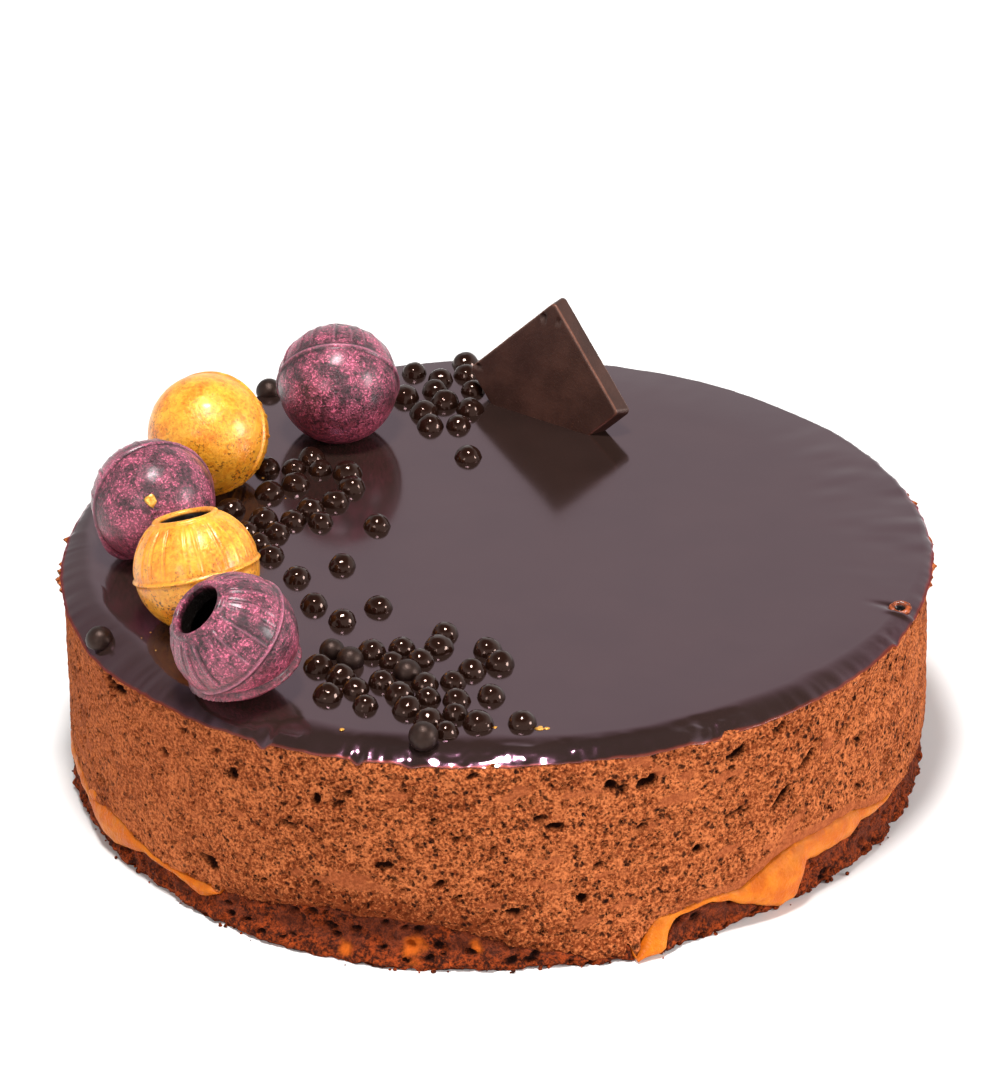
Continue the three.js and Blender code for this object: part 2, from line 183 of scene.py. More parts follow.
def humps(angle, stretches, power=1):
    """Sum over stretches, each a middle, a half width and a height, of the height times the hump, raised to
    a power. A power below 1 makes the stretches fuller."""
    return sum(height * hump(angle, middle, half) ** power for middle, half, height in stretches)


def caramel_edges(angle):
    """How caramel lies round the rim: the share of it that has spread to the wall, its upper edge, its lower
    edge and its outer radius. The edges run straight between the points of a spill and go back to the
    hidden layer past its ends. The taller the caramel, the further it stands out."""
    at = degrees_from(angle)
    spread = sum(
        smooth(at, spill[0][0] - SPILL_END, spill[0][0]) * smooth(at, spill[-1][0] + SPILL_END, spill[-1][0])
        for spill in CARAMEL_SPILLS
    )
    places, tops, lows = np.array(sum(CARAMEL_SPILLS, [])).T
    top = CARAMEL_TOP + (np.interp(at, places, tops) - CARAMEL_TOP) * spread
    low = SPONGE_TOP + (np.interp(at, places, lows) - SPONGE_TOP) * spread
    shown = MOUSSE_RADIUS + humps(angle, OUT_OF_ROUND) + CARAMEL_STAND * (top - low)
    shown = shown + CARAMEL_FOOT_STAND * np.clip(SPONGE_TOP - low, 0, None)
    return spread, top, low, CARAMEL_HIDDEN_RADIUS + (shown - CARAMEL_HIDDEN_RADIUS) * spread


def foot_flare(angle, height):
    """How far the foot has spread at a height: what its radius on the floor is over the sponge's, fading
    smoothly to 0 at the top of the flare."""
    on_floor = np.interp(degrees_from(angle), *np.array(SPONGE_FOOT).T)
    return (on_floor - SPONGE_RADIUS) * (1 - smooth(height, 0, SPONGE_FLARE))


def turned(radius, angle, height):
    """Points at a radius, turned by an angle round the Z axis, and at a height."""
    return np.stack(np.broadcast_arrays(radius * np.cos(angle), radius * np.sin(angle), height), axis=-1)


def lumps(points, size, seed):
    """An uneven field from -1 to 1: seeded numbers on a cubic lattice of the given spacing, blended between
    the eight corners round each point by smoothed shares."""
    table = np.random.default_rng(seed).uniform(-1, 1, (LATTICE, LATTICE, LATTICE))
    corner = np.floor(points / size).astype(int)
    share = points / size - corner
    share = share * share * (3 - 2 * share)
    total = 0
    for step in np.ndindex(2, 2, 2):
        x, y, z = np.moveaxis((corner + step) % LATTICE, -1, 0)
        total = total + table[x, y, z] * np.prod(np.where(step, share, 1 - share), axis=-1)
    return total


def rough(points, waves):
    """Sum of uneven fields, each given by its height, the spacing of its lumps and its seed."""
    return sum(height * lumps(points, size, seed) for height, size, seed in waves)


def mousse_hem(angle):
    """Lower edge of the mousse: straight between its points, uneven, and on top of the caramel at a spill."""
    rim = turned(MOUSSE_RADIUS, angle, 0.0)
    spread, top, _, _ = caramel_edges(angle)
    plain = np.interp(degrees_from(angle), *np.array(MOUSSE_HEM).T) + rough(rim, HEM_WAVES)
    plain = np.maximum(plain, HEM_LOWEST)
    return plain + (top - HEM_LAP + rough(rim, HEM_ON_CARAMEL_WAVES) - plain) * spread


def pores(angle, height, wide, tall, lean, share, radius, seed):
    """Depth from 0 to 1 of bubbles cut open in a wall. The wall is divided into cells of that width and
    height, which lean by so many millimetres round for each one up. A share of the cells hold a bubble, off
    centre, with a radius drawn from a range of shares of the cell, and a point takes the deepest of the
    nine near it: one less the squared distance over the squared radius. Uneven shifts fray the outlines."""
    cells = (round(2 * np.pi * MOUSSE_RADIUS / wide), PORE_ROWS)
    draw = np.random.default_rng(seed)
    spots = draw.uniform(*PORE_SPOT, cells + (2,))
    radii = draw.uniform(*radius, cells) * (draw.random(cells) < share) + NO_PORE
    wall = turned(MOUSSE_RADIUS, angle, height)
    fray_round, fray_up = (far * lumps(wall, PORE_FRAY_SPACING, seed + more) for far, more in PORE_FRAYS)
    round_cell = angle / (2 * np.pi) * cells[0] - (lean * height + fray_round) / wide
    up_cell = (height + fray_up) / tall
    deepest = np.zeros(np.broadcast(round_cell, up_cell).shape)
    for step_round, step_up in np.ndindex(3, 3):
        column = np.floor(round_cell).astype(int) + step_round - 1
        row = np.floor(up_cell).astype(int) + step_up - 1
        spot = spots[column % cells[0], row % cells[1]]
        reach = radii[column % cells[0], row % cells[1]]
        far = (column + spot[..., 0] - round_cell) ** 2 + (row + spot[..., 1] - up_cell) ** 2
        deepest = np.maximum(deepest, 1 - far / reach**2)
    return deepest


def soaked_share(angle, height):
    """1 inside the ellipses of the soaked patches, fading to 0 past their uneven edges."""
    way = np.full(height.shape, np.inf)
    for at, middle, half_width, half_height in SOAKED_PATCHES:
        across = distance_round(angle, at, MOUSSE_RADIUS)
        way = np.minimum(way, np.hypot(across / half_width, (height - middle) / half_height))
    return smooth(way + rough(turned(MOUSSE_RADIUS, angle, height), SOAKED_FRAY), *SOAKED_EDGE)


def turned_layer(angle, *bands):
    """A layer of the cake as one grid of points: bands of radius and height, from the middle of the
    underside out, up the wall and back to the middle of the top, turned round the Z axis."""
    return np.concatenate([turned(np.atleast_2d(radius), angle, height) for radius, height in bands])[None]


def add_piece(name, grids, material, **marks):
    """One mesh of closed skins, from an array of skins by rows by columns by three. Columns run round, so
    each skin has quads between neighbouring rows and columns, and a fan to a pole in the middle of its
    first and of its last row. Marks are values for each grid point, kept as attributes."""
    count, rows, columns = grids.shape[:3]
    index = np.arange(rows * columns).reshape(rows, columns)
    ahead = np.roll(index, -1, axis=1)
    first_pole = np.full(columns, rows * columns)
    quads = np.stack([index[:-1], ahead[:-1], ahead[1:], index[1:]], axis=-1).reshape(-1, 4)
    fans = np.concatenate([
        np.stack([ahead[0], index[0], first_pole], axis=-1),
        np.stack([index[-1], ahead[-1], first_pole + 1], axis=-1),
    ])
    start = (np.arange(count) * (rows * columns + 2))[:, None]
    corners = np.concatenate([(quads.ravel() + start).ravel(), (fans.ravel() + start).ravel()])
    sizes = np.repeat([4, 3], [len(quads) * count, len(fans) * count])
    poles = grids[:, [0, -1]].mean(axis=2)
    points = np.concatenate([grids.reshape(count, -1, 3), poles], axis=1).reshape(-1, 3)

    mesh = bpy.data.meshes.new(name)
    mesh.vertices.add(len(points))
    mesh.vertices.foreach_set("co", (points * MM).astype(np.float32).ravel())
    mesh.loops.add(len(corners))
    mesh.loops.foreach_set("vertex_index", corners.astype(np.int32))
    mesh.polygons.add(len(sizes))
    mesh.polygons.foreach_set("loop_start", (np.cumsum(sizes) - sizes).astype(np.int32))
    mesh.polygons.foreach_set("use_smooth", np.ones(len(sizes), bool))
    for attribute, values in marks.items():
        values = np.broadcast_to(values, grids.shape[:3])
        ends = values[:, [0, -1]].mean(axis=2)
        values = np.concatenate([values.reshape(count, -1), ends], axis=1).astype(np.float32)
        mesh.attributes.new(attribute, "FLOAT", "POINT").data.foreach_set("value", values.ravel())
    mesh.update()
    mesh.validate()
    mesh.materials.append(material)
    piece = bpy.data.objects.new(name, mesh)
    bpy.context.scene.collection.objects.link(piece)
    return piece


class Field:
    """One output of a material's nodes, as a value that varies over a surface. Sums, differences and
    products of fields and numbers add Math nodes."""

    def __init__(self, tree, socket):
        """Keeps the tree that further nodes go into, and the socket that this field comes from."""
        self.tree = tree
        self.socket = socket

    def node(self, kind, settings, inputs, output=0):
        """A node of that kind in the same tree: its settings first, then a value or a link in each named
        input. Gives the chosen output as a field."""
        made = self.tree.nodes.new(kind)
        for name, value in settings.items():
            setattr(made, name, value)
        for name, value in inputs.items():
            if isinstance(value, Field):
                self.tree.links.new(value.socket, made.inputs[name])
            else:
                made.inputs[name].default_value = value
        return Field(self.tree, made.outputs[output])

    def math(self, operation, first, second):
        """The result of one Math node on two values, of which either may be a number."""
        return self.node("ShaderNodeMath", {"operation": operation}, {0: first, 1: second})

    def __add__(self, other):
        """This field plus the other value."""
        return self.math("ADD", self, other)

    __radd__ = __add__

    def __sub__(self, other):
        """This field less the other value."""
        return self.math("SUBTRACT", self, other)

    def __rsub__(self, other):
        """The other value less this field."""
        return self.math("SUBTRACT", other, self)

    def __mul__(self, other):
        """This field times the other value."""
        return self.math("MULTIPLY", self, other)

    __rmul__ = __mul__

    def ramp(self, start, end):
        """0 at the start value and 1 at the end value, smooth between; the start may be the larger."""
        ends = {"Value": self, "From Min": start, "From Max": end}
        return self.node("ShaderNodeMapRange", {"interpolation_type": "SMOOTHSTEP"}, ends)

    def mix(self, first, second):
        """The first colour where the field is 0 and the second where it is 1."""
        return self.node("ShaderNodeMix", {"data_type": "RGBA"}, {0: self, 6: first, 7: second}, output=2)


def colour(red, green, blue):
    """A colour in linear light from display values of 0 to 255, by the display's power curve."""
    shown = np.array([red, green, blue]) / 255
    linear = np.where(shown <= 0.04045, shown / 12.92, ((shown + 0.055) / 1.055) ** 2.4)
    return (*linear.tolist(), 1.0)


def begin_finish(name, **constants):
    """A new material whose constants are set on its shader, and the place on the object in millimetres."""
    material = bpy.data.materials.new(name)
    material.use_nodes = True
    tree = material.node_tree
    for socket, value in constants.items():
        tree.nodes["Principled BSDF"].inputs[socket.replace("_", " ")].default_value = value
    metres = Field(tree, tree.nodes.new("ShaderNodeTexCoord").outputs["Object"])
    return material, metres.node("ShaderNodeVectorMath", {"operation": "SCALE"}, {0: metres, "Scale": 1 / MM})


def end_finish(material, **fields):
    """Links each field to the shader's socket of that name."""
    tree = material.node_tree
    for socket, field in fields.items():
        tree.links.new(field.socket, tree.nodes["Principled BSDF"].inputs[socket.replace("_", " ")])


def grain(place, size, detail=3.0, roughness=0.6):
    """Noise from 0 to 1 whose coarsest lumps are the given size in millimetres."""
    inputs = {"Vector": place, "Scale": 1 / size, "Detail": detail, "Roughness": roughness}
    return place.node("ShaderNodeTexNoise", {}, inputs)


def mark(place, name):
    """A value that the mesh holds at its points."""
    return place.node("ShaderNodeAttribute", {"attribute_name": name}, {}, output="Fac")


def level(place):
    """Height above the floor in millimetres."""
    return place.node("ShaderNodeSeparateXYZ", {}, {0: place}, output="Z")


def relief(height, depth):
    """A normal for a height field from 0 to 1 that stands for the given depth in millimetres."""
    return height.node("ShaderNodeBump", {}, {"Distance": depth * MM, "Height": height}, output="Normal")


angle = ring_angles(SPONGE_COLUMNS)
spread, _, caramel_low, _ = caramel_edges(angle)
hem = mousse_hem(angle)
sponge_height = SPONGE_RIM * np.linspace(0, 1, SPONGE_WALL_ROWS)[:, None]
covered = smooth(sponge_height - (hem + (caramel_low - hem) * spread), *COVER_EDGE)
flared = SPONGE_RADIUS + foot_flare(angle, sponge_height)
sponge_radius = flared + (SPONGE_COVERED_RADIUS - flared) * covered
sponge_radius = sponge_radius - SPONGE_FOOT_ROUNDING * (1 - smooth(sponge_height, 0, SPONGE_FOOT_ROUNDED_TO))
on_wall = turned(sponge_radius, angle, sponge_height)
torn = pores(angle, sponge_height, *SPONGE_HOLES) * (1 - covered)
crumb = (1 - CRUMB_PRESSED * covered) * rough(on_wall, CRUMB_WAVES)
sponge_radius = sponge_radius + crumb - SPONGE_HOLE_DEPTH * torn
shift = rough(on_wall, CRUMB_SHIFTS) * smooth(sponge_height, *CRUMB_SHIFTS_FROM)
sponge_height = np.maximum(sponge_height + shift, 0)
sponge_grid = turned_layer(
    angle,
    (LAYER_CORE_RADIUS, 0),
    (SPONGE_UNDER_RADIUS, 0),
    (sponge_radius, sponge_height),
    (CARAMEL_HIDDEN_RADIUS + SPONGE_RIM_CLEARANCE, SPONGE_RIM),
    (CARAMEL_HIDDEN_RADIUS + SPONGE_FLOOR_CLEARANCE, SPONGE_TOP),
    (LAYER_CORE_RADIUS, SPONGE_TOP),
)

sponge_finish, place = begin_finish("cocoa_sponge", Roughness=0.92, Specular_IOR_Level=0.12)
grains = grain(place, SPONGE_GRAIN, detail=4, roughness=0.7)
fine = grain(place, SPONGE_FINE_GRAIN, detail=2)
soaked = mark(place, "soaked")
tint = (grains * 0.6 + fine * 0.4).ramp(0.4, 0.64).mix(colour(*SPONGE_GAP), colour(*SPONGE_CRUMB))
damp = level(place).ramp(*SPONGE_DAMP_FROM) * grain(place, SPONGE_DAMP_SIZE).ramp(0.4, 0.56)
tint = (damp * 0.65).mix(tint, colour(*SPONGE_DAMP))
# Painted shade: the torn holes darken towards their depth
tint = mark(place, "torn").ramp(0.15, 0.8).mix(tint, colour(*SPONGE_HOLE_SHADE))
tint = (soaked * (0.45 + 0.55 * grains)).mix(tint, colour(*SPONGE_SOAKED))
crumb_bumps = (grains + 0.5 * fine) * (1 - 0.7 * soaked)
end_finish(sponge_finish, Base_Color=tint, Normal=relief(crumb_bumps, SPONGE_BUMP))

# Rows of the grid below and above the wall have no marks
flat_rows = ((2, 3), (0, 0))
sponge = add_piece(
    "cocoa_sponge_round",
    sponge_grid,
    sponge_finish,
    torn=np.pad(torn, flat_rows),
    soaked=np.pad(soaked_share(angle, sponge_height), flat_rows),
)
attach(sponge, "root")
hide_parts("sponge_base")

# Sponge crumbs
# Crumbs that broke off the cut edge of the sponge. They cling to its foot and lie close round it.
CRUMB_COUNT = 110
CRUMB_RADIUS = (0.15, 0.65)
# How far inside the foot's edge they start, how far out from there they reach, height of a middle in radii
CRUMB_START = 0.9
CRUMB_REACH = 1.8
CRUMB_REST = 0.7
CRUMB_SHAPE = [(0.6, 0.6, 42)]
CRUMB_SEED = 41
CRUMB_ROWS = 5
CRUMB_COLUMNS = 7


def balls(middle, radius, rows, columns):
    """Balls as grids of points, one for each middle and radius, from the lowest ring to the highest: the
    radius times the sine of the angle from the axis, turned round, and its cosine along the axis."""
    polar = np.linspace(np.pi, 0, rows + 2)[1:-1, None]
    unit = turned(np.sin(polar), ring_angles(columns), np.cos(polar))
    return middle[:, None, None] + radius[:, None, None, None] * unit


draw = np.random.default_rng(CRUMB_SEED)
crumb_angle = draw.uniform(0, 2 * np.pi, CRUMB_COUNT)
crumb_size = CRUMB_RADIUS[0] + (CRUMB_RADIUS[1] - CRUMB_RADIUS[0]) * draw.random(CRUMB_COUNT) ** 2
crumb_foot = np.interp(degrees_from(crumb_angle), *np.array(SPONGE_FOOT).T)
crumb_out = crumb_foot - CRUMB_START + CRUMB_REACH * draw.random(CRUMB_COUNT) ** 2
crumb_middle = turned(crumb_out, crumb_angle, CRUMB_REST * crumb_size)
crumb_grids = balls(crumb_middle, crumb_size, CRUMB_ROWS, CRUMB_COLUMNS)
crumb_shape = 1 + rough(crumb_grids, CRUMB_SHAPE)[..., None]
crumb_grids = crumb_middle[:, None, None] + (crumb_grids - crumb_middle[:, None, None]) * crumb_shape
crumb_grids[..., 2] = np.maximum(crumb_grids[..., 2], 0)
loose_crumbs = add_piece("sponge_crumbs", crumb_grids, sponge_finish, torn=0.0, soaked=0.0)
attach(loose_crumbs, "root")

# Caramel layer
# Soft caramel spread over the sponge before the mousse was poured. The weight above has squeezed it out
# at the sides, where it has run over the sponge in smooth, satin tongues.
CARAMEL_COLUMNS = 1000
CARAMEL_FACE_ROWS = 26
LAYER_MIDDLE_RADIUS = 80.0
# Least thickness of what shows, how far it is tucked behind the sponge's edge, and its lowest point
CARAMEL_THINNEST = 0.6
CARAMEL_TUCK = 0.4
CARAMEL_LOWEST = 0.05
# Power of the cosine that its face follows from edge to edge: the lower, the fuller
CARAMEL_FULLNESS = 0.5
CARAMEL_WAVES = [(0.3, 6.0, 11), (0.14, 2.2, 12), (0.05, 0.8, 13)]
CARAMEL_SHIFTS = [(0.3, 2.6, 14)]
CARAMEL_DEEP = (188, 88, 4)
CARAMEL_PALE = (204, 112, 16)
CARAMEL_SPECK = (150, 74, 14)
CARAMEL_STAINED = (146, 74, 20)
CARAMEL_STREAK_SIZE = 4.5
CARAMEL_SPECK_SIZE = 0.7
CARAMEL_STAIN_SIZE = 3.0
CARAMEL_SHEEN_SIZE = 2.5
CARAMEL_BUMP = 0.25
# Where crumb and mousse have stained it: middle and half width in degrees, share. So has its upper edge
CARAMEL_STAINS = [(-146, 44, 0.4), (-28, 24, 0.4), (118, 24, 0.4)]
EDGE_STAIN = 0.75
EDGE_STAIN_FROM = (-0.1, 1.0)

angle = ring_angles(CARAMEL_COLUMNS)
spread, caramel_top, caramel_low, caramel_out = caramel_edges(angle)
bend = np.linspace(-np.pi / 2, np.pi / 2, CARAMEL_FACE_ROWS)[:, None]
middle, half = (caramel_top + caramel_low) / 2, (caramel_top - caramel_low) / 2
behind = np.minimum(caramel_out - CARAMEL_THINNEST, SPONGE_COVERED_RADIUS - CARAMEL_TUCK)
face_radius = behind + (caramel_out - behind) * np.cos(bend) ** CARAMEL_FULLNESS
face_height = middle + half * np.sin(bend)
on_face = turned(face_radius, angle, face_height)
swell = rough(on_face, CARAMEL_WAVES) + np.clip(foot_flare(angle, face_height), 0, None)
face_radius = face_radius + swell * spread
face_height = np.maximum(face_height + rough(on_face, CARAMEL_SHIFTS) * spread, CARAMEL_LOWEST)
caramel_grid = turned_layer(
    angle,
    (LAYER_CORE_RADIUS, SPONGE_TOP),
    (LAYER_MIDDLE_RADIUS, SPONGE_TOP),
    (face_radius, face_height),
    (LAYER_MIDDLE_RADIUS, CARAMEL_TOP),
    (LAYER_CORE_RADIUS, CARAMEL_TOP),
)
stain = humps(angle, CARAMEL_STAINS)
stain = stain + (EDGE_STAIN - stain) * smooth(np.sin(bend), *EDGE_STAIN_FROM)

caramel_finish, place = begin_finish("caramel_cream", IOR=1.42, Specular_IOR_Level=0.22)
streaks = grain(place, CARAMEL_STREAK_SIZE, detail=4, roughness=0.55)
specks = grain(place, CARAMEL_SPECK_SIZE, detail=2)
tint = streaks.ramp(0.36, 0.62).mix(colour(*CARAMEL_DEEP), colour(*CARAMEL_PALE))
tint = (specks.ramp(0.66, 0.78) * 0.4).mix(tint, colour(*CARAMEL_SPECK))
stained = mark(place, "stain") * grain(place, CARAMEL_STAIN_SIZE, detail=4).ramp(0.2, 0.7)
tint = stained.mix(tint, colour(*CARAMEL_STAINED))
end_finish(
    caramel_finish,
    Base_Color=tint,
    Roughness=0.34 + 0.22 * grain(place, CARAMEL_SHEEN_SIZE),
    Normal=relief(specks + 2.0 * streaks, CARAMEL_BUMP),
)
caramel = add_piece(
    "caramel_spread", caramel_grid, caramel_finish, stain=np.pad(stain, ((2, 2), (0, 0)), mode="edge")
)
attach(caramel, "root")
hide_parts("caramel_layer")

# Caramel drops
# Drops of the same caramel that were caught on the wall above the layer, darker towards their edges.
# Each: angle in degrees, height, half width, half height, how far it stands out
CARAMEL_DROPS = [
    (-159.2, 8.6, 1.9, 1.6, 1.6),
    (-20.0, 9.6, 1.8, 1.4, 0.9),
    (170.0, 8.8, 1.9, 1.5, 1.0),
]
DROP_ROWS = 14
DROP_COLUMNS = 22
DROP_SUNK = 1.2
# Unevenness of a drop of radius 1, and a shift from drop to drop so that no two are alike
DROP_SHAPE = [(0.45, 0.9, 15)]
DROP_SHIFT = 7.0
DROP_EDGE_DARK_FROM = (0.95, 0.35)

drop_count = len(CARAMEL_DROPS)
drop_at, drop_level, half_width, half_height, stand = np.array(CARAMEL_DROPS).T[..., None, None]
drop_balls = balls(np.zeros((drop_count, 3)), np.ones(drop_count), DROP_ROWS, DROP_COLUMNS)
drop_shift = DROP_SHIFT * np.arange(drop_count)[:, None, None, None]
drop_balls = drop_balls * (1 + rough(drop_balls + drop_shift, DROP_SHAPE)[..., None])
drop_turn = np.radians(drop_at) + drop_balls[..., 0] * half_width / MOUSSE_RADIUS
drop_out = MOUSSE_RADIUS - DROP_SUNK - drop_balls[..., 1] * stand
drop_height = np.maximum(drop_level + drop_balls[..., 2] * half_height, CARAMEL_LOWEST)
# Darker where each drop turns away from facing out
drop_edge_dark = smooth(-drop_balls[..., 1], *DROP_EDGE_DARK_FROM)
caramel_drops = add_piece(
    "caramel_drops", turned(drop_out, drop_turn, drop_height), caramel_finish, stain=drop_edge_dark
)
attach(caramel_drops, "root")

# Mousse body
# The tall round of set chocolate mousse. A ring was pulled off it, which left the wall full of cut
# bubbles, with torn pits, a few smeared patches and a frayed upper rim.
MOUSSE_TOP = 46.0
MOUSSE_COLUMNS = 1180
MOUSSE_WALL_ROWS = 76
# Pale and deep tone of the mousse. The fine grain that raises its relief also sets between them, so they
# paint light on the ridges and shade in the hollows as well
MOUSSE_PALE_AND_RIDGE_LIT = (200, 113, 65)
MOUSSE_DEEP_AND_HOLLOW_SHADE = (112, 49, 22)
# Painted shade for the cut bubbles, the torn pits and the frayed bits under the glaze's lip
MOUSSE_PORE_SHADE = (34, 12, 6)
MOUSSE_SMEAR = (148, 76, 44)
MOUSSE_CLOUD_SIZE = 7.0
MOUSSE_FINE_GRAIN = 0.62
PINHOLE_SPACING = 1.1
POCKET_SPACING = 1.7
POCKET_PATCH_SIZE = 2.6
MOUSSE_BUMP = 0.3
# Rows that close the wall: how deep the skirt under its hem is and how far its inner edge lies above the
# hem, how far in and down the hem is folded, how far the wall goes up behind the glaze, and its rounded top
MOUSSE_SKIRT = 2.4
SKIRT_RISE = 0.9
HEM_FOLD_IN = 0.5
HEM_FOLD_DOWN = 0.2
MOUSSE_TUCK = 0.45
MOUSSE_ROUNDING = 0.9
MOUSSE_CROWN = 0.1
# Relief of the wall, wave by wave: height, spacing, seed
WALL_BULGES = [(0.45, 26.0, 29), (0.22, 6.0, 30)]
WALL_GRAINS = [(0.16, 1.5, 31), (0.1, 0.9, 32)]
# How far the hem is drawn in away from the caramel, and up to what height
HEM_DRAWN_IN = 0.7
HEM_DRAWN_TO = 2.0
# Cut bubbles: width, height and lean of a cell, share of cells that hold one, range of radii, seed
SMALL_PORES = (2.4, 2.0, 0.4, 0.6, (0.14, 0.38), 27)
LARGE_PORES = (8.5, 6.0, 0.9, 0.4, (0.08, 0.2), 28)
SMALL_PORE_DEPTH = 0.9
LARGE_PORE_DEPTH = 1.5
# Torn pits: angle in degrees, height, half length, half width, turn of the length in degrees, depth
MOUSSE_PITS = [
    (-150.1, 41.0, 4.6, 1.7, 3, 3.2),
    (-126.4, 35.1, 1.6, 1.4, 20, 2.0),
    (-113.7, 34.7, 1.7, 1.1, 75, 2.0),
    (-104.7, 22.1, 2.2, 0.9, 5, 1.8),
    (-130.7, 12.6, 2.6, 1.7, -25, 1.8),
    (-75.0, 39.2, 1.7, 1.3, 20, 2.4),
    (-70.3, 38.6, 2.7, 1.3, 25, 2.6),
    (-57.4, 40.4, 2.6, 1.3, 28, 2.4),
    (-45.5, 32.6, 3.2, 0.9, 33, 2.6),
    (-50.0, 26.6, 3.6, 1.2, 38, 2.8),
    (-82.6, 31.4, 2.1, 1.0, 0, 2.2),
    (-63.1, 20.9, 1.3, 1.1, 0, 2.0),
    (-56.8, 27.1, 1.3, 0.9, 20, 1.8),
    (-50.5, 43.0, 2.2, 0.9, 20, 1.8),
    (-139.0, 33.0, 1.6, 1.2, -20, 1.6),
    (-118.0, 27.5, 2.4, 0.7, -12, 1.4),
    (-88.0, 12.6, 2.0, 1.0, 8, 2.0),
    (-79.0, 14.5, 1.5, 1.1, 0, 2.0),
    (-34.0, 30.0, 1.5, 1.0, 40, 1.6),
    (20.0, 29.0, 2.8, 1.1, 30, 2.2),
    (64.0, 38.0, 2.2, 1.3, 10, 2.2),
    (101.0, 21.0, 3.0, 1.0, -20, 2.2),
    (146.0, 34.0, 2.0, 1.5, 0, 2.4),
    (171.0, 24.0, 2.4, 0.9, 25, 2.0),
]
PIT_FRAY = [(0.5, 1.3, 26)]
# Smeared lenses and streaks of shade: width, height and lean of their lumps, seed
SMEAR_LENSES = (5.8, 2.4, 0.7, 24)
BROAD_SHADE = (4.3, 2.6, 0.8, 35)
NARROW_SHADE = (2.2, 1.3, 0.6, 36)
# How the lenses are frayed, the heights of their field that they set in between, how smooth they are, and
# the share of the bubbles that a smear closes
SMEAR_FRAY = [(0.3, 2.0, 25)]
SMEAR_EDGE = (0.5, 0.68)
SMEAR_SHARE = 0.85
SMEAR_CLOSES = 0.85
# Smooth strip that the ring dragged over the bubbles above the largest spill: middle and half width in
# degrees, share. Then its height, and the power of its hump
DRAGGED_STRIP = [(-45, 25, 1.0)]
DRAGGED_HEIGHT = 2.4
DRAGGED_FULL = 0.3
# Stretch that the ring wiped smoother: middle and half width in degrees, share, and its streaks
WIPED_WALL = [(-150, 34, 0.5)]
WIPED_STREAKS = (7.0, 2.2, 0.3, 37)
# Stretch where it has taken up colour from the sponge below: middle and half width in degrees, share. Then
# the share all round, how dark it gets, and up to what height
DARK_HEM = [(-106, 34, 0.75)]
DARK_ALL_ROUND = 0.25
DARK_DEPTH = 1.5
DARK_HEIGHT = 9.0
# Stretches where torn bits stand out under the glaze's edge: middle and half width in degrees, how far
FRAYED_RIM = [(176, 26, 1.5), (12, 40, 2.4), (80, 40, 0.9), (-145, 14, 0.6)]
# Waves that the bits follow, how much is cut off them to leave gaps, and the depths below the lip where
# they set in and where they are hidden behind it
FRAY_WAVES = [(1.0, 1.6, 33), (0.3, 4.0, 34)]
FRAY_GAPS = 0.1
FRAY_BELOW_LIP = (1.6, 0.7)
FRAY_BEHIND_LIP = (-0.1, 0.3)
# How the wall keeps under the glaze's lip: clearance, the most that it swells out to meet it, the depths
# below the lip where it does, and the slopes that it keeps to below and behind the lip
LIP_CLEARANCE = 0.2
LIP_SWELL = 2.0
LIP_SWELL_FROM = (5.0, 0.2)
LIP_SLOPES = (0.8, 1.6)
# The glaze round the rim: angle in degrees, its edge's height and radius, radius where it starts to fall
GLAZE_RIM = [
    (-180, 45.3, 89.2, 82.0), (-168, 44.9, 89.4, 80.5), (-160, 44.1, 89.4, 79.5), (-156, 43.2, 89.4, 79.0),
    (-148, 43.8, 89.3, 79.4), (-141, 44.6, 89.2, 80.0), (-131, 44.4, 89.0, 80.4), (-120, 44.8, 88.8, 80.6),
    (-110, 45.1, 88.4, 80.4), (-103, 45.2, 88.0, 79.8), (-92, 45.2, 87.8, 79.2), (-78, 45.1, 88.0, 79.8),
    (-65, 45.0, 88.4, 80.6), (-55, 45.2, 88.9, 81.4), (-42, 45.4, 89.3, 82.4), (-30, 45.7, 89.6, 84.0),
    (-20, 46.0, 89.8, 85.4), (-10, 46.3, 89.9, 87.0), (30, 46.4, 89.7, 88.4), (45, 46.4, 89.3, 88.0),
    (70, 46.5, 90.3, 89.2), (110, 46.4, 89.8, 88.6), (150, 46.2, 89.0, 87.0), (165, 45.7, 88.8, 84.5),
]
# Degrees that it is averaged over, and how uneven its edge's height and radius and its reach are
RIM_BLEND = (-3, -1.5, 0, 1.5, 3)
RIM_HEM_WAVES = [(0.22, 3.5, 52), (0.12, 1.3, 59)]
RIM_OUT_WAVES = [(0.2, 18.0, 53), (0.16, 3.0, 54)]
RIM_REACH_WAVES = [(0.12, 20.0, 60), (0.08, 6.0, 63)]
# Where its edge is torn into fine teeth: middle and half width in degrees, how far
TORN_EDGE = [(22, 48, 0.4)]
TEETH = [(1.0, 1.5, 70)]
TEETH_LOWEST = -0.2
# Runs that hang below it: middle and half width in degrees, reach
GLAZE_RUNS = [
    (-121.3, 1.5, 1.2), (-107.9, 1.2, 1.1), (-101, 2.0, 0.6), (-61, 3.0, 0.5), (-25.5, 1.2, 0.9),
    (70, 2.5, 1.4), (152, 2.0, 1.6),
]
# Power of a hump that stays high over most of its width
FULL = 0.5


